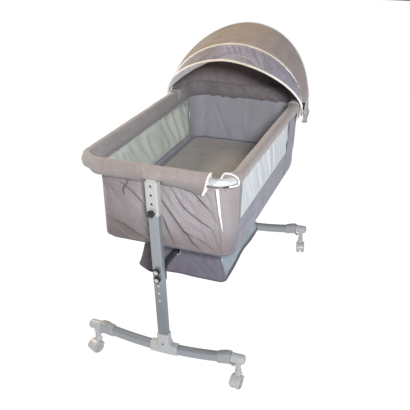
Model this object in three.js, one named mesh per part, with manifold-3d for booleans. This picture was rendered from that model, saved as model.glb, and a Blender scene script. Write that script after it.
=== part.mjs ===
// Bassinet on a height-adjustable rocking stand: a padded rail crib with a
// drop side, folding hood and hanging storage basket, carried by two posts on
// curved feet with fold-away casters.
// Millimetres, +Z up. X runs across the crib (+X is the drop side), +Y points
// to the head end with the hood, and the casters stand on Z = 0.

import * as THREE from 'three';
import { mergeVertices } from 'three/addons/utils/BufferGeometryUtils.js';
import Module from 'manifold-3d';

const wasm = await Module();
wasm.setup();

// ---------------------------------------------------------------- dimensions
const GAP = 0.3;            // clearance between touching pieces
const PITCH = 31;           // height-setting hole pitch

const POST_Y = 472;         // post, foot and sleeve centre line from the middle
const POST_W = 36, POST_D = 26, POST_WALL = 1.6;
const POST_Z0 = 118.5, POST_Z1 = 664;

const FOOT_Z = 91;          // foot tube centre height in the middle
const FOOT_R = 1200;        // rocker radius of the foot tube
const FOOT_W = 28, FOOT_H = 38, FOOT_WALL = 1.5, FOOT_END = 245;
const TEE_HALF = 53, TEE_TOP = 160;

const HEAD_Z = 120;         // fold axis of the casters
const SWIVEL_X = 282.5;     // caster swivel axis from the middle
const WHEEL_R = 24, WHEEL_HALF = 18.2, TRAIL = 14;
const CASTER_TURN = { fr: -96, fl: -115, rl: -60, rr: -75 }; // trail direction, degrees from +X

const SLEEVE_W = 43, SLEEVE_D = 32, SLEEVE_Z0 = 646, SLEEVE_Z1 = 764;
const HEIGHT_KNOB_Z = 657;
const LOWER_KNOB_Z = [433, 402];

const BAR_Z = 425, BAR_W = 16, BAR_H = 22;

const RAIL_Z = 785, TUBE_R = 12.5, TUBE_BORE = 11;
const RAIL_HX = 262, RAIL_HY = 464, RAIL_CR = 64;
const SPLIT_X = 192;        // front joint between rail frame and drop bar
const SPLIT_Y = 240;        // rear joint between rail frame and drop bar
const PAD_HALF = 17, PAD_LOW = 752, PAD_TOP = 812, SIDE_PAD_LOW = 769;

const BODY_Z0 = 490, BODY_Z1 = 751, WALL = 3;
const ZIP_X = 200;          // front zip between end panel and drop side
const HINGE_X = 249, HINGE_Z = 601.5;

const MATTRESS_TOP = 576;
const BASKET_Z0 = 333, BASKET_Z1 = 484;
const BASKET_X = 17, BASKET_END = 62;   // middle line, and rear end at its floor

const PIVOT_Y = 290, PIVOT_Z = 775;   // hood pivot
const BOW = {                          // half width, rise, angle from +Y, exponent, tube radius
  front: { w: 295.5, r: 227, th: 114.8, n: 1.74, tr: 5.0 },
  mid: { w: 288, r: 242, th: 80.8, n: 1.92, tr: 2.5 },
  rear: { w: 304.5, r: 374, th: 50.8, n: 1.95, tr: 3.0 },
};
const BOW_LEG = 20;         // straight stretch of each bow above its eye

// ------------------------------------------------------------------- helpers
const V = (x, y, z) => new THREE.Vector3(x, y, z);
const rad = THREE.MathUtils.degToRad;
const lerp = THREE.MathUtils.lerp;

// Welds a geometry to plain shared positions, drops collapsed triangles and
// turns it the right way out.
function clean(source, tol = 1e-3) {
  let g = source.index ? source.toNonIndexed() : source.clone();
  for (const k of Object.keys(g.attributes)) if (k !== 'position') g.deleteAttribute(k);
  g.clearGroups();
  g = mergeVertices(g, tol);
  const p = g.attributes.position, idx = g.index.array, keep = [];
  let vol = 0;
  const a = new THREE.Vector3(), b = new THREE.Vector3(), c = new THREE.Vector3();
  for (let i = 0; i < idx.length; i += 3) {
    const [i0, i1, i2] = [idx[i], idx[i + 1], idx[i + 2]];
    if (i0 === i1 || i1 === i2 || i0 === i2) continue;
    keep.push(i0, i1, i2);
    a.fromBufferAttribute(p, i0); b.fromBufferAttribute(p, i1); c.fromBufferAttribute(p, i2);
    vol += a.dot(b.cross(c));
  }
  if (vol < 0) for (let i = 0; i < keep.length; i += 3) [keep[i + 1], keep[i + 2]] = [keep[i + 2], keep[i + 1]];
  g.setIndex(keep);
  return g;
}

function solid(geo) {
  const g = clean(geo);
  return new wasm.Manifold(new wasm.Mesh({
    numProp: 3,
    vertProperties: new Float32Array(g.attributes.position.array),
    triVerts: new Uint32Array(g.index.array),
  }));
}
function geometry(m) {
  const mesh = m.getMesh();
  const g = new THREE.BufferGeometry();
  g.setAttribute('position', new THREE.BufferAttribute(new Float32Array(mesh.vertProperties), 3));
  g.setIndex(Array.from(mesh.triVerts));
  return g;
}
const union = (...gs) => geometry(gs.map(solid).reduce((s, t) => s.add(t)));
const cut = (g, ...tools) => geometry(tools.reduce((s, t) => s.subtract(solid(t)), solid(g)));

const box = (x0, x1, y0, y1, z0, z1) =>
  new THREE.BoxGeometry(x1 - x0, y1 - y0, z1 - z0).translate((x0 + x1) / 2, (y0 + y1) / 2, (z0 + z1) / 2);
const cylX = (r, x0, x1, y, z, n = 16) =>
  new THREE.CylinderGeometry(r, r, x1 - x0, n).rotateZ(Math.PI / 2).translate((x0 + x1) / 2, y, z);
const cylY = (r, y0, y1, x, z, n = 16) =>
  new THREE.CylinderGeometry(r, r, y1 - y0, n).translate(x, (y0 + y1) / 2, z);
const cylZ = (r, z0, z1, x, y, n = 16) =>
  new THREE.CylinderGeometry(r, r, z1 - z0, n).rotateX(Math.PI / 2).translate(x, y, (z0 + z1) / 2);

// Closed outlines as lists of [x, y].
const circle = (r, n = 12, cx = 0, cy = 0) =>
  Array.from({ length: n }, (_, i) => [cx + r * Math.cos((2 * Math.PI * i) / n), cy + r * Math.sin((2 * Math.PI * i) / n)]);
function roundRect(w, h, r, seg = 3, cx = 0, cy = 0) {
  const out = [];
  [[1, 1], [-1, 1], [-1, -1], [1, -1]].forEach(([sx, sy], q) => {
    for (let i = 0; i <= seg; i++) {
      const a = (Math.PI / 2) * (q + i / seg);
      out.push([cx + sx * (w / 2 - r) + r * Math.cos(a), cy + sy * (h / 2 - r) + r * Math.sin(a)]);
    }
  });
  return out;
}
function superOval(w, h, n, count, cx = 0, cy = 0) {
  return Array.from({ length: count }, (_, i) => {
    const a = (2 * Math.PI * (i + 0.5)) / count, c = Math.cos(a), s = Math.sin(a);
    return [cx + (w / 2) * Math.sign(c) * Math.abs(c) ** (2 / n), cy + (h / 2) * Math.sign(s) * Math.abs(s) ** (2 / n)];
  });
}
function shapeOf(outer, inner) {
  const s = new THREE.Shape(outer.map(([x, y]) => new THREE.Vector2(x, y)));
  if (inner) s.holes.push(new THREE.Path(inner.map(([x, y]) => new THREE.Vector2(x, y))));
  return s;
}
const prismZ = (outer, z0, z1, inner) =>
  new THREE.ExtrudeGeometry(shapeOf(outer, inner), { depth: z1 - z0, bevelEnabled: false }).translate(0, 0, z0);

// A path through given points, with mitred cross-sections that keep `up`.
class Route extends THREE.Curve {
  constructor(points, up) { super(); this.points = points; this.up = up; }
  getPoint(t) {
    const k = t * (this.points.length - 1), i = Math.min(Math.floor(k), this.points.length - 2);
    return this.points[i].clone().lerp(this.points[i + 1], k - i);
  }
  getSpacedPoints() { return this.points.map((p) => p.clone()); }
  computeFrenetFrames() {
    const P = this.points, tangents = [], normals = [], binormals = [];
    for (let i = 0; i < P.length; i++) {
      const a = P[Math.max(i - 1, 0)], b = P[i], c = P[Math.min(i + 1, P.length - 1)];
      const d0 = (i ? b.clone().sub(a) : c.clone().sub(b)).normalize();
      const d1 = (i < P.length - 1 ? c.clone().sub(b) : b.clone().sub(a)).normalize();
      const t = d0.clone().add(d1).normalize();
      const n = this.up.clone().cross(t).normalize();
      const bi = t.clone().cross(n).normalize();
      n.multiplyScalar(1 / Math.max(t.dot(d0), 0.5));
      tangents.push(t); normals.push(n); binormals.push(bi);
    }
    return { tangents, normals, binormals };
  }
}
const along = (points, outer, inner, up = V(0, 0, 1)) =>
  new THREE.ExtrudeGeometry(shapeOf(outer, inner), { steps: points.length - 1, extrudePath: new Route(points, up) });

// A closed ring through given points with a convex section.
function ringTube(points, section, up = V(0, 0, 1)) {
  const N = points.length, m = section.length, pos = [], idx = [];
  for (let i = 0; i < N; i++) {
    const d0 = points[i].clone().sub(points[(i + N - 1) % N]).normalize();
    const d1 = points[(i + 1) % N].clone().sub(points[i]).normalize();
    const t = d0.clone().add(d1).normalize(), n = up.clone().cross(t).normalize(), b = t.clone().cross(n);
    n.multiplyScalar(1 / t.dot(d0));
    for (const [x, y] of section) {
      const p = points[i].clone().addScaledVector(n, x).addScaledVector(b, y);
      pos.push(p.x, p.y, p.z);
    }
  }
  for (let i = 0; i < N; i++) for (let j = 0; j < m; j++) {
    const a = i * m + j, b = i * m + ((j + 1) % m), c = ((i + 1) % N) * m + ((j + 1) % m), d = ((i + 1) % N) * m + j;
    idx.push(a, b, c, a, c, d);
  }
  const g = new THREE.BufferGeometry();
  g.setAttribute('position', new THREE.Float32BufferAttribute(pos, 3));
  g.setIndex(idx);
  return g;
}

// A solid through a stack of equal-length rings, with flat ends.
function loft(rings) {
  const n = rings[0].length, pos = [], idx = [];
  rings.forEach((r) => r.forEach((p) => pos.push(p.x, p.y, p.z)));
  for (let i = 0; i < rings.length - 1; i++) for (let j = 0; j < n; j++) {
    const a = i * n + j, b = i * n + ((j + 1) % n), c = (i + 1) * n + ((j + 1) % n), d = (i + 1) * n + j;
    idx.push(a, b, c, a, c, d);
  }
  for (let j = 1; j < n - 1; j++) idx.push(0, j + 1, j);
  const e = (rings.length - 1) * n;
  for (let j = 1; j < n - 1; j++) idx.push(e, e + j, e + j + 1);
  const g = new THREE.BufferGeometry();
  g.setAttribute('position', new THREE.Float32BufferAttribute(pos, 3));
  g.setIndex(idx);
  return g;
}

// A sheet of thickness t built on a grid of points; t offsets along -normal.
function sheet(grid, t) {
  const R = grid.length, C = grid[0].length, inner = [];
  for (let i = 0; i < R; i++) {
    inner.push([]);
    for (let j = 0; j < C; j++) {
      const du = grid[Math.min(i + 1, R - 1)][j].clone().sub(grid[Math.max(i - 1, 0)][j]);
      const dv = grid[i][Math.min(j + 1, C - 1)].clone().sub(grid[i][Math.max(j - 1, 0)]);
      const n = du.cross(dv).normalize();
      inner[i].push(grid[i][j].clone().addScaledVector(n, -t));
    }
  }
  const pos = [], idx = [], N = R * C;
  for (const G of [grid, inner]) for (const row of G) for (const p of row) pos.push(p.x, p.y, p.z);
  const at = (i, j) => i * C + j;
  for (let i = 0; i < R - 1; i++) for (let j = 0; j < C - 1; j++) {
    const a = at(i, j), b = at(i + 1, j), c = at(i + 1, j + 1), d = at(i, j + 1);
    idx.push(a, b, c, a, c, d, N + a, N + c, N + b, N + a, N + d, N + c);
  }
  const rim = [];
  for (let j = 0; j < C - 1; j++) rim.push([at(0, j), at(0, j + 1)]);
  for (let i = 0; i < R - 1; i++) rim.push([at(i, C - 1), at(i + 1, C - 1)]);
  for (let j = C - 1; j > 0; j--) rim.push([at(R - 1, j), at(R - 1, j - 1)]);
  for (let i = R - 1; i > 0; i--) rim.push([at(i, 0), at(i - 1, 0)]);
  for (const [a, b] of rim) idx.push(a, b, N + b, a, N + b, N + a);
  const g = new THREE.BufferGeometry();
  g.setAttribute('position', new THREE.Float32BufferAttribute(pos, 3));
  g.setIndex(idx);
  return g;
}

const arc = (cx, cy, r, a0, a1, seg) =>
  Array.from({ length: seg + 1 }, (_, i) => {
    const a = rad(lerp(a0, a1, i / seg));
    return [cx + r * Math.cos(a), cy + r * Math.sin(a)];
  });

// ----------------------------------------------------------------- materials
const mat = (hex, roughness, metalness = 0) => new THREE.MeshStandardMaterial({ color: hex, roughness, metalness });
const M = {
  silver: mat(0xa9afb4, 0.38, 0.55),
  plastic: mat(0xd5d6d3, 0.45),
  white: mat(0xe9e8e2, 0.4),
  black: mat(0x15151a, 0.45),
  dark: mat(0x2b2d36, 0.5),
  steel: mat(0xb9bcbf, 0.3, 0.8),
  rail: mat(0xaba09a, 0.95),
  fabric: mat(0xa89d9d, 0.95),
  side: mat(0x84838f, 0.95),
  mesh: mat(0xc7cdd0, 0.9),
  bed: mat(0x9a928f, 0.95),
  board: mat(0xb79a74, 0.8),
  hood: mat(0xa1948b, 0.95),
  trim: mat(0xefeee9, 0.6),
};
const root = new THREE.Group();
function add(name, geo, material) {
  const g = clean(geo);
  g.computeVertexNormals();
  const m = new THREE.Mesh(g, material);
  m.name = name;
  root.add(m);
  return m;
}
const turned = (geo, deg, x = 0, y = 0, z = 0) => geo.clone().rotateZ(rad(deg)).translate(x, y, z);

// ---------------------------------------------------------------- foot parts
const footZ = (x) => FOOT_Z + (x * x) / (2 * FOOT_R);
const footPath = (x0, x1, n) => Array.from({ length: n + 1 }, (_, i) => {
  const x = lerp(x0, x1, i / n);
  return V(x, 0, footZ(x));
});
const footTube = along(footPath(-FOOT_END, FOOT_END, 8), superOval(FOOT_W, FOOT_H, 3, 12),
  superOval(FOOT_W - 2 * FOOT_WALL, FOOT_H - 2 * FOOT_WALL, 3, 8));
const footBore = (x0, x1, n) => along(footPath(x0, x1, n), superOval(FOOT_W + 1, FOOT_H + 1, 3, 12));

// Moulded T-joint: a saddle round the foot tube with a socket for the post.
const teeSaddle = along(footPath(-TEE_HALF, TEE_HALF, 4), superOval(34, 42.5, 4, 12));
const socketRing = (w, d, z) => roundRect(w, d, 6, 2).map(([x, y]) => V(x, y, z));
const teeSocket = loft([socketRing(64, 33, 98), socketRing(52, 34, 116), socketRing(46, 35, 128), socketRing(44, 34, TEE_TOP)]);
const tee = cut(union(teeSaddle, teeSocket), footBore(-70, 70, 5),
  prismZ(roundRect(POST_W + 0.8, POST_D + 0.8, 3.3, 2), POST_Z0 - GAP, TEE_TOP + 5));

// Collar that closes the tube end and holds the caster head's pin.
const collarSpan = [[207, 31.5, 42, footZ(207)], [214, 33, 44, footZ(212)], [240, 34, 46, 116.5], [257, 34, 45, 118]];
const collarBody = loft(collarSpan.map(([x, w, h, z]) => superOval(w, h, 4, 12).map(([y, q]) => V(x, y, z + q))));
const collarHook = loft([[250, 8, 97], [262, 7, 88], [268, 6, 86]].map(([x, h, z]) =>
  roundRect(12, h, 2, 1).map(([y, q]) => V(x, y, z + q))));
const collar = cut(union(collarBody, collarHook), footBore(195, FOOT_END + 0.5, 3), cylX(7.7, 240, 262, 0, HEAD_Z, 12));

// Caster head: pin, barrel with a domed end and a neck down to the swivel.
const headProfile = [[0, 247], [6.9, 247], [6.9, 257.4], [16.4, 257.4], [17.6, 259], [17.6, 299], [15.5, 304.5], [10, 307.4], [0, 308.4]];
const headBarrel = new THREE.LatheGeometry(headProfile.map(([r, x]) => new THREE.Vector2(r, x)), 14)
  .rotateZ(-Math.PI / 2).translate(0, 0, HEAD_Z);
const headNeck = new THREE.LatheGeometry([[0, 68], [8.6, 68], [9.4, 78], [11, 96], [11.5, 116], [0, 116]]
  .map(([r, z]) => new THREE.Vector2(r, z)), 12).rotateX(Math.PI / 2).translate(SWIVEL_X, 0, 0);
const casterHead = union(headBarrel, headNeck);

// Swivel housing: hood over the twin wheels, web with the axle bore, top disc.
const hoodArc = (r, a0, a1, n) => arc(TRAIL, WHEEL_R, r, a0, a1, n);
const coverOutline = [...hoodArc(28, 8, 172, 8), ...hoodArc(25.3, 172, 8, 8)];
const webOutline = [[-9, 50], [-6, 34], [6, 20], [22, 18], [28, 26], [26, 46], [10, 52]];
const flat = (outline, half) =>
  new THREE.ExtrudeGeometry(shapeOf(outline), { depth: 2 * half, bevelEnabled: false }).translate(0, 0, -half).rotateX(Math.PI / 2);
const casterFork = cut(
  union(flat(coverOutline, WHEEL_HALF + 0.3), flat(webOutline, 2.5), cylZ(10, 44, 67.7, 0, 0, 12)),
  cylY(4.5, -4, 4, TRAIL, WHEEL_R, 10), cylY(25.3, 2.5, 30, TRAIL, WHEEL_R, 16), cylY(25.3, -30, -2.5, TRAIL, WHEEL_R, 16));
const spool = [[0, -18.2], [20, -18.2], [24, -14], [24, -5], [22.5, -3.4], [3.9, -3.4],
  [3.9, 3.4], [22.5, 3.4], [24, 5], [24, 14], [20, 18.2], [0, 18.2]];
const wheelPair = new THREE.LatheGeometry(spool.map(([r, y]) => new THREE.Vector2(r, y)), 16).rotateY(rad(90)).translate(TRAIL, 0, WHEEL_R);

// ------------------------------------------------------------ stand, two ends
const postHoles = [433, 402, 371, 340, 309];
const post = cut(
  prismZ(roundRect(POST_W, POST_D, 3, 2), POST_Z0, POST_Z1, roundRect(POST_W - 2 * POST_WALL, POST_D - 2 * POST_WALL, 1.6, 1)),
  ...[...postHoles, HEIGHT_KNOB_Z].map((z) => cylY(4, -POST_D / 2 - 2, -POST_D / 2 + 4, 0, z, 8)));

// Star knob, axis along -Y from its seat at y = 0.
const star = Array.from({ length: 20 }, (_, i) => {
  const a = (2 * Math.PI * i) / 20, r = 12.2 + 1.5 * Math.cos(5 * a);
  return [r * Math.cos(a), r * Math.sin(a)];
});
const knob = union(
  new THREE.ExtrudeGeometry(shapeOf(star), { depth: 10, bevelEnabled: false }).rotateX(Math.PI / 2).translate(0, -3, 0),
  cylY(8, -4, 0, 0, 0, 10));

for (const [end, turn] of [['front', 0], ['rear', 180]]) {
  const s = end === 'front' ? -1 : 1;
  add(`foot_tube_${end}`, turned(footTube, turn, 0, s * POST_Y, 0), M.silver);
  add(`foot_tee_${end}`, turned(tee, turn, 0, s * POST_Y, 0), M.plastic);
  add(`post_${end}`, turned(post, turn, 0, s * POST_Y, 0), M.silver);
  add(`height_knob_${end}`, turned(knob, turn, 0, s * (POST_Y + SLEEVE_D / 2 + GAP), HEIGHT_KNOB_Z), M.black);
  LOWER_KNOB_Z.forEach((z, i) =>
    add(`bar_knob_${end}_${i ? 'lower' : 'upper'}`, turned(knob, turn, 0, s * (POST_Y + POST_D / 2 + GAP), z), M.black));
  for (const side of ['left', 'right']) {
    const sx = side === 'right' ? 1 : -1;
    const key = (end === 'front' ? 'f' : 'r') + side[0];
    const half = sx > 0 ? 0 : 180;
    add(`foot_collar_${key}`, turned(collar, half, 0, s * POST_Y, 0), M.plastic);
    add(`caster_head_${key}`, turned(casterHead, half, 0, s * POST_Y, 0), M.plastic);
    add(`caster_cover_${key}`, turned(casterFork, CASTER_TURN[key], sx * SWIVEL_X, s * POST_Y, 0), M.white);
    add(`caster_wheels_${key}`, turned(wheelPair, CASTER_TURN[key], sx * SWIVEL_X, s * POST_Y, 0), M.white);
  }
}

// Lengthwise crossbar and its end brackets behind the posts.
const barSection = roundRect(BAR_W, BAR_H, 5, 2, 0, 0);
const barBore = roundRect(BAR_W - 3, BAR_H - 3, 3.6, 2, 0, 0);
add('crossbar', along([V(0, -452, BAR_Z), V(0, 452, BAR_Z)], barSection, barBore), M.dark);
const bracket = cut(
  union(box(-19, 19, -POST_Y + POST_D / 2 + GAP, -POST_Y + POST_D / 2 + 4.3, 384, 452),
    box(-12, 12, -POST_Y + POST_D / 2 + 2, -432, 410, 440)),
  along([V(0, -452 - GAP, BAR_Z), V(0, -420, BAR_Z)], roundRect(BAR_W + 0.7, BAR_H + 0.7, 5.2, 2)));
add('bar_bracket_front', bracket, M.black);
add('bar_bracket_rear', turned(bracket, 180), M.black);

// ---------------------------------------------------------------- rail frame
const xy = (pts, z = RAIL_Z) => pts.map(([x, y]) => V(x, y, z));
const cx = RAIL_HX - RAIL_CR, cy = RAIL_HY - RAIL_CR;
const railRoute = (x0, yEnd) => xy([[x0, -RAIL_HY], ...arc(-cx, -cy, RAIL_CR, 270, 180, 4), ...arc(-cx, cy, RAIL_CR, 180, 90, 4),
  ...arc(cx, cy, RAIL_CR, 90, 0, 4), [RAIL_HX, yEnd]]);
const tubeRing = circle(TUBE_R, 10), tubeBore = circle(TUBE_BORE, 10);
add('rail_frame', along(railRoute(SPLIT_X, SPLIT_Y + GAP), tubeRing, tubeBore), M.steel);

const padRing = (low, top, half) => superOval(2 * half, top - low, 3.2, 12, 0, (low + top) / 2 - RAIL_Z);
const padBore = circle(TUBE_R + 0.9, 10);
const padNotch = (s) => box(-23, 23, Math.min(s * 440, s * 492), Math.max(s * 440, s * 492), 740, 778);
add('rail_pad', cut(along(railRoute(SPLIT_X - 7, SPLIT_Y + 3), padRing(PAD_LOW, PAD_TOP, PAD_HALF), padBore), padNotch(-1), padNotch(1)), M.rail);

// Height sleeves: square tubes over the posts with a saddle under the rail.
const sleeve = cut(
  union(prismZ(roundRect(SLEEVE_W, SLEEVE_D, 6, 2), SLEEVE_Z0, SLEEVE_Z1), box(-16, 16, -14, 26, SLEEVE_Z1 - 2, 776)),
  prismZ(roundRect(POST_W + 1, POST_D + 1, 3.4, 2), SLEEVE_Z0 - 5, 758.5),
  cylX(TUBE_R + 0.6, -30, 30, 8, RAIL_Z, 20),
  ...[0, 1, 2, 3].map((i) => cylY(4.4, -SLEEVE_D / 2 - 2, -SLEEVE_D / 2 + 6, 0, HEIGHT_KNOB_Z + i * PITCH, 8)));
add('height_sleeve_front', turned(sleeve, 0, 0, -POST_Y, 0), M.white);
add('height_sleeve_rear', turned(sleeve, 180, 0, POST_Y, 0), M.white);

// ---------------------------------------------------------------- drop side
const dropRoute = xy([[SPLIT_X + GAP, -RAIL_HY], ...arc(cx, -cy, RAIL_CR, -90, 0, 4), [RAIL_HX, SPLIT_Y]]);
const buttonAt = [[cx + RAIL_CR * Math.sin(rad(37.5)), -cy - RAIL_CR * Math.cos(rad(37.5))], [RAIL_HX, SPLIT_Y - 14]];
add('drop_bar', cut(along(dropRoute, tubeRing, tubeBore),
  ...buttonAt.map(([x, y]) => cylZ(6.4, 765, 778, x, y, 10))), M.steel);
const padStart = arc(cx, -cy, RAIL_CR, -45, 0, 2);
padStart[0] = padStart[0].map((v, i) => lerp(v, padStart[1][i], 0.15));
add('drop_side_pad', cut(along(xy([...padStart, [RAIL_HX, SPLIT_Y - 3]]), padRing(SIDE_PAD_LOW, PAD_TOP, 16.5), padBore),
  box(RAIL_HX - 10, RAIL_HX + 10, SPLIT_Y - 26, SPLIT_Y, 760, 778)), M.rail);
buttonAt.forEach(([x, y], i) =>
  add(`release_button_${i ? 'rear' : 'front'}`, cylZ(5.6, 767.5, 776, x, y, 10), M.dark));

// Fabric walls. Outline numbers at a height z.
const wallAt = (z) => {
  const s = (z - BODY_Z0) / (766 - BODY_Z0);
  return {
    hy: 413 + 27 * s, xl: 238, rl: 26 + 59 * s, rr: 50 + 10 * s,
    xr: z < 603 ? lerp(240, 248, (z - 490) / 113) : lerp(248, 258, (z - 603) / 163),
  };
};
const wall = (levels, plan) => sheet(levels.map((z) => plan(wallAt(z)).map(([x, y]) => V(x, y, z))), -WALL);
const cornerAngle = (w, x) => 270 + THREE.MathUtils.radToDeg(Math.asin((x - (w.xr - w.rr)) / w.rr));
add('end_panel_front', wall([BODY_Z0, 627, BODY_Z1], (w) =>
  [...arc(-w.xl + w.rl, -w.hy + w.rl, w.rl, 180, 270, 5), [-60, -w.hy], [60, -w.hy],
    ...arc(w.xr - w.rr, -w.hy + w.rr, w.rr, 270, cornerAngle(w, ZIP_X), 1)]), M.fabric);
add('end_panel_rear', wall([BODY_Z0, 603, BODY_Z1], (w) =>
  [[w.xr, SPLIT_Y + 3], ...arc(w.xr - w.rr, w.hy - w.rr, w.rr, 0, 90, 5), [60, w.hy], [-60, w.hy], ...arc(-w.xl + w.rl, w.hy - w.rl, w.rl, 90, 180, 5)]), M.fabric);
add('side_panel_left', wall([BODY_Z0, BODY_Z1], (w) =>
  [[-w.xl, w.hy - w.rl - 0.6], [-w.xl, 120], [-w.xl, -120], [-w.xl, -w.hy + w.rl + 0.6]]), M.side);
const cornerPlan = (w) => arc(w.xr - w.rr, -w.hy + w.rr, w.rr, cornerAngle(w, ZIP_X + 3.5), 360, 5);
add('side_panel_right_lower', wall([BODY_Z0, 600], (w) => [...cornerPlan(w), [w.xr, 0], [w.xr, SPLIT_Y - 0.5]]), M.side);
add('drop_side_flap', wall([603, 766], cornerPlan), M.fabric);
add('drop_side_mesh', wall([603, 766], (w) => [[w.xr, -w.hy + w.rr + 0.6], [w.xr, -60], [w.xr, SPLIT_Y - 3]]), M.mesh);

// Floor fabric, bottom wire ring, board and mattress.
const plate = (hx, hy, r, z0, z1) => prismZ(roundRect(2 * hx, 2 * hy, r, 4), z0, z1);
add('floor_panel', plate(237.5, 412.5, 50, 486.5, 489.6), M.side);
const ringPts = roundRect(2 * 227, 2 * 402, 40, 3).map(([x, y]) => V(x, y, 498));
add('bottom_ring', ringTube(ringPts, circle(4, 6)), M.steel);
add('mattress_board', plate(222, 397, 40, 502.4, 508.4), M.board);
const cushionRing = (inset, z) => roundRect(2 * (229 - inset), 2 * (405 - inset), 48 - inset * 0.5, 4).map(([x, y]) => V(x, y, z));
add('mattress', loft([cushionRing(6, 508.8), cushionRing(0, 518), cushionRing(0, 564), cushionRing(4, 572), cushionRing(14, MATTRESS_TOP)]), M.bed);

// Hanging basket under the foot half of the crib: slack tub with slots for the
// crossbar and a low left side.
const basketRing = (hx, y0, y1, r, z) => roundRect(2 * hx, y1 - y0, r, 3).map(([x, y]) => V(x + BASKET_X, y + (y0 + y1) / 2, z));
const basketTub = cut(
  loft([basketRing(168, -343, BASKET_END, 20, BASKET_Z0), basketRing(172, -347, BASKET_END + 4, 24, BASKET_Z0 + 6),
    basketRing(138, -312, BASKET_END - 31, 20, BASKET_Z1)]),
  loft([basketRing(169.2, -344.2, BASKET_END + 1.2, 21.2, BASKET_Z0 + 2.6), basketRing(135.2, -309.2, BASKET_END - 33.8, 17.2, BASKET_Z1 + 0.2)]),
  box(-14, 14, -400, 400, 408, 500), box(-250, -100, -268, BASKET_END - 76, 432, 500));
add('basket', basketTub, M.fabric);

// --------------------------------------------------------------------- hood
function bowPoint(b, t, off = 0) {
  const a = Math.PI * t, c = Math.cos(a), s = Math.max(Math.sin(a), 0);
  const x = b.w * Math.sign(c) * Math.abs(c) ** (2 / b.n);
  const h = BOW_LEG + (b.r - BOW_LEG) * s ** (2 / b.n);
  const th = rad(b.th);
  return V(x, PIVOT_Y + h * Math.cos(th) + off * Math.sin(th), PIVOT_Z + h * Math.sin(th) - off * Math.cos(th));
}
const bowUp = (b) => V(0, Math.sin(rad(b.th)), -Math.cos(rad(b.th)));
function bow(b, seg, sides) {
  const th = rad(b.th), foot = (sx) => V(sx * b.w, PIVOT_Y + 9 * Math.cos(th), PIVOT_Z + 9 * Math.sin(th));
  const pts = [foot(1), ...Array.from({ length: seg + 1 }, (_, i) => bowPoint(b, i / seg)), foot(-1)];
  const tube = along(pts, circle(b.tr, sides), null, bowUp(b));
  const eye = Math.min(b.tr, 2.4);
  return cut(union(tube, cylX(9.6, b.w - eye, b.w + eye, PIVOT_Y, PIVOT_Z, 12), cylX(9.6, -b.w - eye, -b.w + eye, PIVOT_Y, PIVOT_Z, 12)),
    cylX(4.6, 270, 330, PIVOT_Y, PIVOT_Z, 8), cylX(4.6, -330, -270, PIVOT_Y, PIVOT_Z, 8));
}
add('hood_bow_front', bow(BOW.front, 18, 8), M.trim);
add('hood_bow_mid', bow(BOW.mid, 18, 6), M.trim);
add('hood_bow_rear', bow(BOW.rear, 18, 6), M.steel);

// Clips over the side rails with the common hood pivot pin.
const clip = union(
  cut(box(RAIL_HX - 21.3, RAIL_HX + 20.1, 270, 310, 746, 816),
    box(RAIL_HX - PAD_HALF - 0.7, RAIL_HX + PAD_HALF + 0.6, 260, 320, 740, 812.6),
    box(RAIL_HX - 30, RAIL_HX, 260, 320, 740, 782)),
  cylX(4, RAIL_HX + 19, 313, PIVOT_Y, PIVOT_Z, 8), cylX(7, 309.2, 314, PIVOT_Y, PIVOT_Z, 12));
add('hood_clip_right', clip, M.white);
add('hood_clip_left', clip.clone().scale(-1, 1, 1), M.white);

// Hood fabric: visor between front and middle bows, dome between middle and
// rear bows, and a back curtain from the rear bow down round the head end.
const blendBows = (a, b, offA, offB, rows, seg, bulge) => Array.from({ length: rows + 1 }, (_, i) => {
  const s = i / rows;
  return Array.from({ length: seg + 1 }, (_, j) => {
    const t = lerp(0.02, 0.98, j / seg);
    const p = bowPoint(a, t, offA).lerp(bowPoint(b, t, offB), s);
    const mid = V(0, PIVOT_Y, PIVOT_Z), n = p.clone().sub(mid).setX(p.x * 0.55).normalize();
    return p.addScaledVector(n, bulge * Math.sin(Math.PI * s) * Math.sin(Math.PI * t));
  });
});
add('hood_visor', sheet(blendBows(BOW.front, BOW.mid, 7.2, -4.8, 2, 18, -4), 1.6), M.hood);
add('hood_dome', sheet(blendBows(BOW.mid, BOW.rear, 4.8, -5.8, 3, 18, 4), 1.8), M.hood);
// The hem hangs low at the sides and stays above the rear sleeve in the middle.
const hemHalf = [[292, 318, 722], [292, 355, 706], ...arc(198, 400, 94, 0, 90, 5).map(([x, y]) => [x, y, 692]), [130, 494, 704], [65, 494, 768]];
const hem = [...hemHalf, [0, 494, 768], ...hemHalf.slice().reverse().map(([x, y, z]) => [-x, y, z])];
const hemCols = hem.length - 1;
const curtain = Array.from({ length: 5 }, (_, i) => hem.map(([x, y, z], j) => {
  const t = lerp(0.035, 0.965, j / hemCols);
  if (i === 4) return V(x, y, z);
  return bowPoint(BOW.rear, t, 5.6).lerp(V(x, y, 772), i / 3);
}));
add('hood_back', sheet(curtain, 1.8), M.hood);

// The frame's origin is on the floor under the middle of the whole object.
root.updateMatrixWorld(true);
const bounds = new THREE.Box3().setFromObject(root, true);
root.position.set(-(bounds.min.x + bounds.max.x) / 2, -(bounds.min.y + bounds.max.y) / 2, -bounds.min.z);
root.updateMatrixWorld(true);

export default root;
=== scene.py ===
import math

import bmesh
import bpy
import numpy as np
from mathutils import Matrix, Vector, noise


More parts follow.
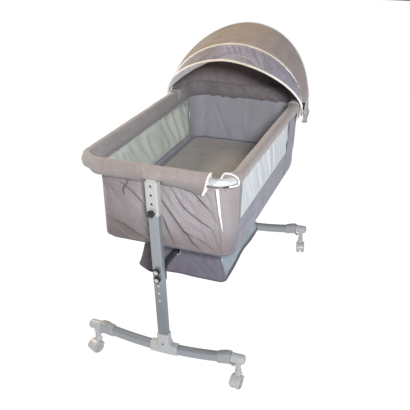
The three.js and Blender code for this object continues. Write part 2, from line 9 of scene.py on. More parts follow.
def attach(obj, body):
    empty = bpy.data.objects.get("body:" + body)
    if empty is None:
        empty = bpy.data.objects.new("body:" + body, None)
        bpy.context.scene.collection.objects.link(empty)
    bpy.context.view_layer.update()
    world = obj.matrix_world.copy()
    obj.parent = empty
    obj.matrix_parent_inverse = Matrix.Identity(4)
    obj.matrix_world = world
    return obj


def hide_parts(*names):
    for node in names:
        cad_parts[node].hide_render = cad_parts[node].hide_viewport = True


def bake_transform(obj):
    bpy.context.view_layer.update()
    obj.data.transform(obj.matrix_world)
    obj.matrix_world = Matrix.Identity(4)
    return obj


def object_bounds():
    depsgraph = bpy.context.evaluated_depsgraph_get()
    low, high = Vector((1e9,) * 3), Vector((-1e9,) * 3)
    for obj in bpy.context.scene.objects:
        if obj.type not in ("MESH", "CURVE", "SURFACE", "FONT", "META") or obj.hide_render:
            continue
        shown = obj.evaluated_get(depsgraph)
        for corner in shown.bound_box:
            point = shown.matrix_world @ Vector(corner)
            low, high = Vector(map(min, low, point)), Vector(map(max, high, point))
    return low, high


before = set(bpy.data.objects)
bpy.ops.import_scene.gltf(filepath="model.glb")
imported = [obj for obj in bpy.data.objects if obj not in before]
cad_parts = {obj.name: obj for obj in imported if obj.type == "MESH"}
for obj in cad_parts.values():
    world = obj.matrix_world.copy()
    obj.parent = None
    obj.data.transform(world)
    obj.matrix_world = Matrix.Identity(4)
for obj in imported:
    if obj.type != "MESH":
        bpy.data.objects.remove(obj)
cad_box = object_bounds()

# Lengths below are millimetres about the crib's own middle; AT moves them into the row frame.
AT = np.array([1.4507, -6.5411, 0.0])
MM = 0.001
rad = math.radians
POST_Y = 472.0
RAIL_Z, RAIL_HX, RAIL_HY, RAIL_CR = 785.0, 262.0, 464.0, 64.0
SPLIT_X, SPLIT_Y = 192.0, 240.0
HINGE_X, HINGE_Z = 249.0, 601.5
PIVOT_Y, PIVOT_Z = 290.0, 775.0
UP = np.array([0.0, 0.0, 1.0])


# ------------------------------------------------------------------ mesh kit
def lin(c):
    return tuple((v / 255 / 12.92) if v / 255 <= 0.04045 else ((v / 255 + 0.055) / 1.055) ** 2.4 for v in c)


def unit(v):
    v = np.asarray(v, float)
    n = np.linalg.norm(v, axis=-1, keepdims=True)
    return v / np.maximum(n, 1e-12)


def smooth(x, a, b):
    t = np.clip((np.asarray(x, float) - a) / (b - a), 0, 1)
    return t * t * (3 - 2 * t)


def field(P, scale, seed=0.0, octaves=2):
    """Smooth noise in about -1..1 at each point of P, a list of points, with a scale for each axis."""
    Q = np.asarray(P, float).reshape(-1, 3) * np.asarray(scale, float)
    out = np.empty(len(Q))
    for i, q in enumerate(Q):
        v, a, f = 0.0, 1.0, 1.0
        for k in range(octaves):
            v += a * noise.noise(Vector((q[0] * f + seed, q[1] * f + 1.7 * seed + 9.1 * k, q[2] * f - seed)))
            a *= 0.5
            f *= 2.03
        out[i] = v
    return out.reshape(np.asarray(P).shape[:-1])


def make(name, verts, faces, mats, body=None, soft=True, angle=None, face_mats=None):
    me = bpy.data.meshes.new(name)
    V = (np.asarray(verts, float).reshape(-1, 3) + AT) * MM
    me.from_pydata(V.tolist(), [], [list(map(int, f)) for f in faces])
    mats = mats if isinstance(mats, (list, tuple)) else [mats]
    for m in mats:
        me.materials.append(m)
    if face_mats is not None:
        me.polygons.foreach_set("material_index", np.asarray(face_mats, int))
    bm = bmesh.new()
    bm.from_mesh(me)
    bmesh.ops.recalc_face_normals(bm, faces=bm.faces)
    bm.to_mesh(me)
    bm.free()
    me.polygons.foreach_set("use_smooth", [soft] * len(me.polygons))
    if angle:
        me.set_sharp_from_angle(angle=rad(angle))
    me.update()
    ob = bpy.data.objects.new(name, me)
    bpy.context.scene.collection.objects.link(ob)
    if body:
        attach(ob, body)
    return ob


def bevel(ob, width, segments=2, angle=35):
    b = ob.modifiers.new("edge", "BEVEL")
    b.width = width * MM
    b.segments = segments
    b.limit_method = "ANGLE"
    b.angle_limit = rad(angle)
    b.harden_normals = False
    return ob


def apply_all(ob):
    bpy.context.view_layer.update()
    dg = bpy.context.evaluated_depsgraph_get()
    new = bpy.data.meshes.new_from_object(ob.evaluated_get(dg))
    old = ob.data
    ob.modifiers.clear()
    ob.data = new
    bpy.data.meshes.remove(old)
    return ob


def grid(nu, nv, cu=False, cv=False, at=0):
    F = []
    for i in range(nu if cu else nu - 1):
        for j in range(nv if cv else nv - 1):
            a, b = i * nv + j, ((i + 1) % nu) * nv + j
            c, d = ((i + 1) % nu) * nv + (j + 1) % nv, i * nv + (j + 1) % nv
            F.append((at + a, at + b, at + c, at + d))
    return F


def normals(P):
    du = np.gradient(P, axis=0)
    dv = np.gradient(P, axis=1)
    return unit(np.cross(du, dv))


def sheet_mesh(P, t, mask=None):
    """A thin closed sheet on a grid of points, t thick along minus the grid's normal: (verts, faces, side), side 1 for the far side."""
    nu, nv = P.shape[:2]
    Q = P - normals(P) * t
    V = np.concatenate([P.reshape(-1, 3), Q.reshape(-1, 3)])
    n = nu * nv
    F, side, edges = [], [], {}
    for k, f in enumerate(grid(nu, nv)):
        i, j = divmod(k, nv - 1)
        if mask is not None and not mask[i, j]:
            continue
        F.append(f)
        side.append(0)
        F.append(tuple(n + v for v in reversed(f)))
        side.append(1)
        for a, b in zip(f, f[1:] + f[:1]):
            if (b, a) in edges:
                del edges[(b, a)]
            else:
                edges[(a, b)] = 1
    for a, b in edges:
        F.append((b, a, n + a, n + b))
        side.append(0)
    used = sorted({v for f in F for v in f})
    new = {v: k for k, v in enumerate(used)}
    return V[used], [tuple(new[v] for v in f) for f in F], side


def frames(path, up=UP, closed=False):
    P = np.asarray(path, float)
    if closed:
        t = unit(np.roll(P, -1, 0) - np.roll(P, 1, 0))
    else:
        t = unit(np.gradient(P, axis=0))
    n = unit(np.cross(up, t))
    return t, n, np.cross(t, n)


def sweep(path, section, up=UP, closed=False, caps=True, shift=None):
    """A tube along a path. section is (m, 2), or (n, m, 2) with one section for each point; shift slides points along the path."""
    P = np.asarray(path, float)
    S = np.asarray(section, float)
    t, n, b = frames(P, up, closed)
    if S.ndim == 2:
        S = np.broadcast_to(S, (len(P),) + S.shape)
    V = P[:, None] + n[:, None] * S[..., :1] + b[:, None] * S[..., 1:]
    if shift is not None:
        V = V + t[:, None] * shift[..., None]
    F = grid(len(P), S.shape[1], cu=closed, cv=True)
    if not closed and caps:
        m = S.shape[1]
        F.append(tuple(range(m - 1, -1, -1)))
        F.append(tuple(range((len(P) - 1) * m, len(P) * m)))
    return V.reshape(-1, 3), F


def join(*parts):
    V, F, at = [], [], 0
    for v, f in parts:
        v = np.asarray(v, float).reshape(-1, 3)
        V.append(v)
        F += [tuple(at + k for k in q) for q in f]
        at += len(v)
    return np.concatenate(V), F


def circle(r, n=20):
    a = np.arange(n) * 2 * np.pi / n
    return np.stack([r * np.cos(a), r * np.sin(a)], 1)


def oval(w, h, p, n):
    a = (np.arange(n) + 0.5) * 2 * np.pi / n
    c, s = np.cos(a), np.sin(a)
    return np.stack([w / 2 * np.sign(c) * abs(c) ** (2 / p), h / 2 * np.sign(s) * abs(s) ** (2 / p)], 1)


def rrect(w, h, r, seg=5):
    out = []
    for q, (sx, sy) in enumerate([(1, 1), (-1, 1), (-1, -1), (1, -1)]):
        for i in range(seg + 1):
            a = math.pi / 2 * (q + i / seg)
            out.append((sx * (w / 2 - r) + r * math.cos(a), sy * (h / 2 - r) + r * math.sin(a)))
    return np.array(out)


def arc(cx, cy, r, a0, a1, seg):
    a = np.radians(np.linspace(a0, a1, seg + 1))
    return np.stack([cx + r * np.cos(a), cy + r * np.sin(a)], 1)


def resample(P, n=None, step=None):
    P = np.asarray(P, float)
    keep = np.r_[True, np.linalg.norm(np.diff(P, axis=0), axis=1) > 1e-9]
    P = P[keep]
    s = np.r_[0, np.cumsum(np.linalg.norm(np.diff(P, axis=0), axis=1))]
    n = n or max(2, int(round(s[-1] / step)) + 1)
    q = np.linspace(0, s[-1], n)
    return np.stack([np.interp(q, s, P[:, k]) for k in range(P.shape[1])], 1)


def lathe(profile, n=32, axis="z"):
    """A turned solid about an axis through the origin. profile is (radius, along) with both ends on the axis."""
    pr = np.asarray(profile, float)
    a = np.arange(n) * 2 * np.pi / n
    V = np.stack([pr[1:-1, None, 0] * np.cos(a), pr[1:-1, None, 0] * np.sin(a), np.broadcast_to(pr[1:-1, None, 1], (len(pr) - 2, n))], -1)
    F = grid(len(pr) - 2, n, cv=True)
    V = np.concatenate([V.reshape(-1, 3), [[0, 0, pr[0, 1]], [0, 0, pr[-1, 1]]]])
    lo, hi, m = len(V) - 2, len(V) - 1, (len(pr) - 3) * n
    F += [(lo, (j + 1) % n, j) for j in range(n)] + [(hi, m + j, m + (j + 1) % n) for j in range(n)]
    if axis == "x":
        V = V[:, [2, 0, 1]]
    if axis == "y":
        V = V[:, [1, 2, 0]]
    return V, F


def loft(rings):
    R = np.asarray(rings, float)
    n = R.shape[1]
    F = grid(R.shape[0], n, cv=True)
    F.append(tuple(range(n - 1, -1, -1)))
    F.append(tuple(range((R.shape[0] - 1) * n, R.shape[0] * n)))
    return R.reshape(-1, 3), F


def turn(part, deg=0.0, move=(0, 0, 0)):
    v, f = part
    a = rad(deg)
    c, s = math.cos(a), math.sin(a)
    M = np.array([[c, -s, 0], [s, c, 0], [0, 0, 1]])
    return np.asarray(v, float) @ M.T + np.asarray(move, float), f


def block(x0, x1, y0, y1, z0, z1, r=1.0, seg=3):
    """A box with rounded edges on all sides."""
    w, h = x1 - x0, y1 - y0
    rings = []
    for k in range(seg + 1):
        a = math.pi / 2 * k / seg
        i = r * (1 - math.sin(a))
        rings.append([(x, y, z0 + r * (1 - math.cos(a))) for x, y in rrect(w - 2 * i, h - 2 * i, max(r - i, 0.05) + 0.4)])
    for k in range(seg, -1, -1):
        a = math.pi / 2 * k / seg
        i = r * (1 - math.sin(a))
        rings.append([(x, y, z1 - r * (1 - math.cos(a))) for x, y in rrect(w - 2 * i, h - 2 * i, max(r - i, 0.05) + 0.4)])
    v, f = loft(rings)
    return v + [(x0 + x1) / 2, (y0 + y1) / 2, 0], f


def drill(ob, cutters):
    """Cuts closed parts out of a piece."""
    c = make("cutter", *join(*cutters), ob.data.materials[0])
    b = ob.modifiers.new("cut", "BOOLEAN")
    b.operation = "DIFFERENCE"
    b.solver = "EXACT"
    b.object = c
    apply_all(ob)
    bpy.data.objects.remove(c)
    return ob


# ----------------------------------------------------------------- materials
class Look:
    """A material's node tree with short ways to add nodes."""

    def __init__(self, name, rough=0.5, metal=0.0):
        self.m = bpy.data.materials.new(name)
        self.m.use_nodes = True
        self.t = self.m.node_tree
        self.b = self.t.nodes["Principled BSDF"]
        self.b.inputs["Metallic"].default_value = metal
        self.b.inputs["Roughness"].default_value = rough
        self.pos = self.t.nodes.new("ShaderNodeTexCoord").outputs["Object"]

    def link(self, a, b):
        self.t.links.new(a, b)

    def mapped(self, scale, rot=(0, 0, 0)):
        n = self.t.nodes.new("ShaderNodeMapping")
        n.inputs["Scale"].default_value = scale
        n.inputs["Rotation"].default_value = rot
        self.link(self.pos, n.inputs["Vector"])
        return n.outputs["Vector"]

    def noise(self, scale, detail=3.0, stretch=(1, 1, 1), rot=(0, 0, 0), rough=0.5):
        n = self.t.nodes.new("ShaderNodeTexNoise")
        n.inputs["Scale"].default_value = scale
        n.inputs["Detail"].default_value = detail
        n.inputs["Roughness"].default_value = rough
        self.link(self.mapped(stretch, rot), n.inputs["Vector"])
        return n.outputs["Fac"]

    def wave(self, period, rot=(0, 0, 0)):
        n = self.t.nodes.new("ShaderNodeTexWave")
        n.wave_type = "BANDS"
        n.bands_direction = "X"
        n.inputs["Scale"].default_value = 0.314 / period
        n.inputs["Distortion"].default_value = 0.0
        self.link(self.mapped((1, 1, 1), rot), n.inputs["Vector"])
        return n.outputs["Fac"]

    def math(self, op, a, b=0.0, c=None):
        n = self.t.nodes.new("ShaderNodeMath")
        n.operation = op
        for k, v in enumerate((a, b) if c is None else (a, b, c)):
            if isinstance(v, (int, float)):
                n.inputs[k].default_value = v
            else:
                self.link(v, n.inputs[k])
        return n.outputs["Value"]

    def ramp(self, fac, stops):
        n = self.t.nodes.new("ShaderNodeValToRGB")
        e = n.color_ramp.elements
        while len(e) < len(stops):
            e.new(0.5)
        for k, (p, c) in enumerate(stops):
            e[k].position = p
            e[k].color = (*c, 1)
        self.link(fac, n.inputs["Fac"])
        return n.outputs["Color"]

    def mix(self, fac, a, b, mode="MIX"):
        n = self.t.nodes.new("ShaderNodeMix")
        n.data_type = "RGBA"
        n.blend_type = mode
        for k, v in (("Factor", fac), ("A", a), ("B", b)):
            s = [i for i in n.inputs if i.name == k and (i.type == "VALUE" if k == "Factor" else i.type == "RGBA")][0]
            if isinstance(v, (int, float)):
                s.default_value = v
            elif isinstance(v, tuple):
                s.default_value = (*v, 1)
            else:
                self.link(v, s)
        return [o for o in n.outputs if o.type == "RGBA"][0]

    def color(self, c):
        if isinstance(c, tuple):
            self.b.inputs["Base Color"].default_value = (*c, 1)
        else:
            self.link(c, self.b.inputs["Base Color"])

    def bump(self, h, strength, dist):
        n = self.t.nodes.new("ShaderNodeBump")
        n.inputs["Strength"].default_value = strength
        n.inputs["Distance"].default_value = dist
        self.link(h, n.inputs["Height"])
        self.link(n.outputs["Normal"], self.b.inputs["Normal"])


def fabric(name, col, other=None, heather=0.5, period=0.0013, bump=0.35, sheen=0.25, patch=0.06, painted_light_and_shade=()):
    """Heathered woven cloth: melange streaks in two directions, a fine plain weave, faint patches, and painted light
    and shade (axis, from, to, colour): a colour multiplied in along one object axis where the lamps leave a part
    darker, warmer or brighter.
    """
    a = lin(col)
    b = lin(other) if other else tuple(v * 0.62 for v in a)
    k = Look(name, 0.93)
    s1 = k.noise(900, 2, (1.0, 0.22, 1.0))
    s2 = k.noise(900, 2, (0.22, 1.0, 0.22), rot=(0.2, 0.1, 0.1))
    s3 = k.noise(900, 2, (1.0, 1.0, 0.2))
    streak = k.math("MULTIPLY_ADD", s1, 0.34, k.math("MULTIPLY_ADD", s2, 0.33, k.math("MULTIPLY", s3, 0.33)))
    mel = k.ramp(streak, [(0.40, tuple(v * (1 - heather * 0.30) + w * heather * 0.0 for v, w in zip(a, b))), (0.5, a), (0.60, tuple(min(1, v * (1 + heather * 0.22)) for v in a))])
    large = k.noise(9, 3)
    col1 = k.mix(k.math("MULTIPLY", large, patch * 2), mel, b)
    blotch = k.noise(30, 1, (1.0, 0.3, 0.22), rot=(0.3, 0.7, 0.2))
    col1 = k.mix(1.0, col1, k.ramp(blotch, [(0.34, (0.94, 0.93, 0.92)), (0.5, (1.0, 1.0, 1.0)), (0.66, (1.02, 1.03, 1.06))]), "MULTIPLY")
    # painted light and shade: each entry multiplies a tone in by position along one axis
    if painted_light_and_shade:
        xyz = k.t.nodes.new("ShaderNodeSeparateXYZ")
        k.link(k.pos, xyz.inputs["Vector"])
        for axis, lo, hi, tone in painted_light_and_shade:
            r = k.t.nodes.new("ShaderNodeMapRange")
            r.interpolation_type = "SMOOTHSTEP"
            k.link(xyz.outputs[axis], r.inputs["Value"])
            r.inputs["From Min"].default_value, r.inputs["From Max"].default_value = (lo, hi) if lo < hi else (hi, lo)
            r.inputs["To Min"].default_value, r.inputs["To Max"].default_value = (0.0, 1.0) if lo < hi else (1.0, 0.0)
            col1 = k.mix(r.outputs["Result"], col1, tone, "MULTIPLY")
    k.color(col1)
    w = k.math("MULTIPLY", k.wave(period, (0.4, 0.5, 0.72)), k.wave(period, (-0.5, 0.35, -0.86)))
    h = k.math("ADD", k.math("MULTIPLY", w, 0.6), k.math("MULTIPLY", streak, 0.9))
    k.bump(h, bump, 0.0004)
    k.b.inputs["Sheen Weight"].default_value = sheen
    k.b.inputs["Sheen Roughness"].default_value = 0.5
    k.b.inputs["Specular IOR Level"].default_value = 0.2
    return k.m


def netting(name, col, alpha=0.72, hole=0.35, period=0.0022):
    """Fine knitted mesh: threads with small see-through holes."""
    k = Look(name, 0.85)
    k.color(k.mix(k.math("MULTIPLY", k.noise(22, 2), 0.25), lin(col), tuple(v * 0.8 for v in lin(col))))
    w = k.math("MULTIPLY", k.wave(period, (0.5, 0.6, 0.3)), k.wave(period, (-0.4, 0.5, -0.9)))
    holes = k.math("GREATER_THAN", w, 0.42)
    k.link(k.math("SUBTRACT", alpha, k.math("MULTIPLY", holes, hole)), k.b.inputs["Alpha"])
    k.bump(w, 0.3, 0.0004)
    k.b.inputs["Specular IOR Level"].default_value = 0.15
    return k.m


def moulded(name, col, rough=0.4, grain=0.12, worn=None):
    """Moulded plastic: faint pebble grain, slight flow variation and a paler or darker mottle, set by worn."""
    k = Look(name, rough)
    c = lin(col)
    k.color(k.mix(k.math("MULTIPLY", k.noise(35, 3), 0.22), c, tuple(v * 0.86 for v in c) if worn is None else lin(worn)))
    k.link(k.math("MULTIPLY_ADD", k.noise(60, 3), 0.16, rough - 0.08), k.b.inputs["Roughness"])
    k.bump(k.noise(1800, 2), grain, 0.00015)
    return k.m


def coated(name, col, rough=0.36, metal=0.35, flake=0.05, painted_low_shade=None):
    """Powder-coated or satin metal: fine orange peel, faint streaks along the tube, and painted shade that darkens it
    towards the floor.
    """
    k = Look(name, rough, metal)
    c = lin(col)
    f = k.noise(1400, 2)
    big = k.noise(14, 3, (1, 1, 0.4))
    tone = k.mix(k.math("MULTIPLY_ADD", f, flake * 2, k.math("MULTIPLY", big, 0.12)), c, tuple(v * 0.8 for v in c))
    # painted shade: multiplies the colour darker towards the floor
    if painted_low_shade:
        xyz = k.t.nodes.new("ShaderNodeSeparateXYZ")
        k.link(k.pos, xyz.inputs["Vector"])
        r = k.t.nodes.new("ShaderNodeMapRange")
        r.interpolation_type = "SMOOTHSTEP"
        k.link(xyz.outputs[2], r.inputs["Value"])
        r.inputs["From Min"].default_value, r.inputs["From Max"].default_value = painted_low_shade[0], painted_low_shade[1]
        r.inputs["To Min"].default_value, r.inputs["To Max"].default_value = 1.0, 0.0
        tone = k.mix(r.outputs["Result"], tone, (painted_low_shade[2],) * 3, "MULTIPLY")
    k.color(tone)
    k.link(k.math("MULTIPLY_ADD", big, 0.14, rough - 0.07), k.b.inputs["Roughness"])
    k.bump(f, 0.10, 0.0001)
    return k.m


# rail cloth: painted shade, darker and bluer towards the far end under the hood and on the pad's underside; painted
# light, paler and bluer on the left
M_RAIL = fabric("rail_cloth", (150, 140, 137), (116, 108, 110), heather=0.8, patch=0.12, painted_light_and_shade=[(1, 0.28, 0.42, (0.66, 0.68, 0.73)), (2, 0.79, 0.745, (0.70, 0.72, 0.74)), (0, -0.16, -0.24, (1.06, 1.12, 1.17))])
# near wall cloth: painted shade, darker and warmer towards the left, away from the key lamp, and darker towards the
# bottom
M_FRONT = fabric("body_cloth", (151, 144, 146), (118, 111, 115), heather=0.85, patch=0.14, painted_light_and_shade=[(0, -0.02, -0.17, (0.74, 0.72, 0.70)), (2, 0.62, 0.50, (0.66, 0.62, 0.60))])
M_SIDE = fabric("side_cloth", (118, 119, 134), (100, 101, 116), heather=0.8, patch=0.12)
M_INNER = fabric("inner_cloth", (151, 150, 157), (124, 123, 132), heather=0.5, patch=0.10)
# mattress cloth: painted shade, darker and warmer towards the near end, under the near wall
M_BED = fabric("bed_cloth", (148, 141, 136), (120, 113, 110), heather=0.6, patch=0.12, painted_light_and_shade=[(1, 0.0, -0.30, (0.70, 0.66, 0.60))])
# hood cloth: painted warm light, the tan cast of the warm lamp from the back left, warmer and darker towards the left
# and warmer on the top
M_HOOD = fabric("hood_cloth", (150, 139, 136), (120, 111, 110), heather=0.75, patch=0.12, painted_light_and_shade=[(0, 0.06, -0.20, (0.74, 0.70, 0.60)), (2, 0.98, 1.06, (0.92, 0.86, 0.74))])
M_HOOD_IN = fabric("hood_inner_cloth", (142, 130, 131), (104, 95, 98), heather=0.5, patch=0.12)
# visor cloth: painted shade, darker and browner towards the left, which faces away from the light
M_VISOR = fabric("visor_cloth", (150, 145, 156), (104, 94, 96), heather=0.6, patch=0.22, painted_light_and_shade=[(0, -0.02, -0.12, (0.74, 0.68, 0.62))])
M_VISOR_EDGE = fabric("visor_seam", (182, 168, 166), (150, 136, 136), heather=0.4)
# pale cloth: on the visor's inside and its facing the paleness is painted light, the lit inside of the same grey cloth;
# also used for the basket slot's binding
M_PALE_CLOTH = fabric("pale_cloth", (200, 197, 200), (172, 170, 176), heather=0.2, bump=0.2)
# a darker copy of the rail cloth for the pad's far end: painted shade from the hood; no piece uses it
M_REAR_PAD = fabric("rear_pad_cloth", (150, 138, 138), (110, 100, 104))
# basket cloth: painted shade, darker and warmer towards the left
M_BASKET = fabric("basket_cloth", (108, 104, 115), (80, 76, 86), heather=0.75, patch=0.16, painted_light_and_shade=[(0, -0.06, -0.12, (0.80, 0.74, 0.66))])
M_NET_L = netting("net_inner", (190, 196, 189), 0.80)
M_NET_R = netting("net_outer", (222, 228, 234), 0.86, 0.3)
M_NET_B = netting("net_basket", (172, 184, 193), 0.85, 0.3)
# piping: painted warm light, tan at the top of the bows where the warm lamp falls
M_PIPING = fabric("piping_cloth", (234, 231, 226), (206, 200, 192), heather=0.15, period=0.0009, bump=0.25, painted_light_and_shade=[(2, 0.90, 0.98, (0.86, 0.80, 0.70))])
M_DARKPIPE = fabric("dark_piping_cloth", (88, 90, 100), (60, 62, 72), heather=0.3, period=0.0009)
M_THREAD = moulded("thread", (122, 114, 116), 0.8, 0.3)
# posts: painted shade, darker from z 0.50 down to 0.25
M_SILVER = coated("silver_coat", (143, 149, 154), 0.36, 0.35, painted_low_shade=(0.25, 0.50, 0.66))
M_FOOT = coated("foot_coat", (142, 146, 152), 0.34, 0.35)
M_TUBE = coated("bare_tube", (214, 220, 222), 0.28, 0.45)
M_BAR = coated("bar_coat", (58, 61, 69), 0.45, 0.2)
M_GREY = moulded("grey_plastic", (168, 169, 171), 0.42)
M_WHITE = moulded("white_plastic", (175, 174, 172), 0.36)
M_COLLAR = moulded("collar_plastic", (146, 147, 150), 0.42)
M_IVORY = moulded("ivory_plastic", (158, 157, 157), 0.42)
M_BLACK = moulded("black_plastic", (24, 24, 27), 0.33, 0.2, worn=(44, 44, 48))
M_BUTTON = moulded("button_plastic", (52, 56, 64), 0.42)
# near-black material for painted shade inside holes and slots
M_HOLE_SHADE = moulded("hole_shade", (16, 15, 17), 0.9)
M_SCREW = coated("screw_steel", (120, 122, 126), 0.3, 0.9)
M_BOARD = moulded("board", (176, 150, 112), 0.75, 0.3)
M_WIRE = coated("wire_steel", (176, 178, 182), 0.35, 0.8)

# -------------------------------------------------------------- camera, light
scene = bpy.context.scene
scene.view_settings.view_transform = "Standard"
eye = (np.array([767.0, -1888.0, 1521.0]) + AT) * MM
aim = (np.array([244.0, -403.0, 681.0]) + AT) * MM
cam = bpy.data.objects.new("camera", bpy.data.cameras.new("camera"))
scene.collection.objects.link(cam)
fwd = Vector(aim - eye).normalized()
side = fwd.cross(Vector((0, 0, 1))).normalized()
top = side.cross(fwd)
R = Matrix((side, top, -fwd)).transposed() @ Matrix.Rotation(rad(-0.22), 3, "Z")
cam.matrix_world = Matrix.Translation(Vector(eye)) @ R.to_4x4()
cam.data.sensor_width = 36.0
cam.data.lens = 567.8 / 410 * 36
cam.data.shift_x = -0.0702
cam.data.shift_y = 0.0029
cam.data.clip_end = 60
scene.camera = cam

world = bpy.data.worlds.new("studio")
world.use_nodes = True
world.node_tree.nodes["Background"].inputs["Color"].default_value = (0.97, 0.98, 1.0, 1)
world.node_tree.nodes["Background"].inputs["Strength"].default_value = 0.16
scene.world = world


def area(name, at, to, size, power, color=(1, 1, 1)):
    d = bpy.data.lights.new(name, "AREA")
    d.shape = "RECTANGLE"
    d.size, d.size_y = size
    d.energy = power
    d.color = color
    o = bpy.data.objects.new(name, d)
    scene.collection.objects.link(o)
    o.location = at
    o.rotation_euler = (Vector(to) - Vector(at)).to_track_quat("-Z", "Y").to_euler()
    return o


area("key", (1.3, -2.3, 2.05), (0, 0, 0.75), (0.45, 0.45), 88, (0.97, 0.985, 1.0))
area("warm", (-2.0, 0.3, 2.3), (0, 0, 0.7), (0.9, 0.9), 62, (1.0, 0.85, 0.64))
area("back", (0.8, 2.6, 2.4), (0, 0.2, 0.8), (2.4, 1.6), 10, (1, 1, 1))

floor_look = Look("floor", 0.85)
floor_look.b.inputs["Emission Color"].default_value = (1, 1, 1, 1)
floor_look.b.inputs["Emission Strength"].default_value = 0.975
floor_look.color(floor_look.mix(floor_look.math("MULTIPLY", floor_look.noise(3, 2), 0.03), (0.10, 0.10, 0.10), (0.09, 0.09, 0.09)))
fl = make("floor", [(-9000, -9000, 0), (9000, -9000, 0), (9000, 9000, 0), (-9000, 9000, 0)], [(0, 1, 2, 3)], floor_look.m)

# --------------------------------------------------------------------- stand
FOOT_Z, FOOT_R = 91.0, 1200.0


def foot_z(x):
    return FOOT_Z + np.asarray(x, float) ** 2 / (2 * FOOT_R)


def foot_path(x0, x1, n, y=0.0):
    x = np.linspace(x0, x1, n)
    return np.stack([x, np.full(n, y), foot_z(x)], 1)


def rounded_ends(n, ends, r, m=2):
    """Meant to give the scale of the section at each of n points, pulled in by r at the very ends; it returns None and
    nothing calls it.
    """
    return None


def tube_with_edges(path, sec, r):
    """A swept bar whose two ends are rounded over by r."""
    P = np.asarray(path, float)
    t, _, _ = frames(P)
    sec = np.asarray(sec, float)
    half = abs(sec).max(0)
    k = np.linspace(0, math.pi / 2, 4)
    a = np.stack([P[0] + t[0] * r * (1 - math.sin(q)) for q in k[::-1]][::-1])
    start = np.array([P[0] + t[0] * r * (1 - math.cos(q)) for q in k])
    end = np.array([P[-1] - t[-1] * r * (1 - math.cos(q)) for q in k[::-1]])
    pts = np.concatenate([start, P[1:-1], end])
    s = np.ones(len(pts))
    s[:4] = [1 - r / half.mean() * (1 - math.sin(q)) for q in k]
    s[-4:] = [1 - r / half.mean() * (1 - math.sin(q)) for q in k[::-1]]
    return sweep(pts, sec[None] * s[:, None, None])


def disc(r, h, axis="y", at=(0, 0, 0), edge=0.5, n=28, sign=1):
    """A small turned plug or cap, standing h proud along sign * axis from at."""
    e = min(edge, h * 0.45)
    v, f = lathe([(0, 0), (r, 0), (r, h - e), (r - e * 0.3, h - e * 0.3), (r - e, h), (0, h)], n, axis)
    v = v.copy()
    v[:, "xyz".index(axis)] *= sign
    return v + np.asarray(at, float), f


def star_knob(center_mat_disc=True):
    """Star knob about -Y from a seat at y = 0, the body only."""
    a = np.linspace(0, 2 * np.pi, 60, endpoint=False)
    r = 12.2 + 1.5 * np.cos(5 * a)
    prof = [(0.55, 0.0), (0.66, -0.4), (0.66, -2.6), (0.90, -3.1), (0.97, -4.0), (1.0, -6.0), (1.0, -10.0), (0.965, -11.7), (0.90, -12.7), (0.80, -13.0), (0.55, -13.0), (0.52, -12.5)]
    rings = []
    for s, y in prof:
        rr = r * s if s > 0.7 else np.full_like(r, 12.2 * s)
        rings.append(np.stack([rr * np.cos(a), np.full_like(a, y), rr * np.sin(a)], 1))
    return loft(rings)


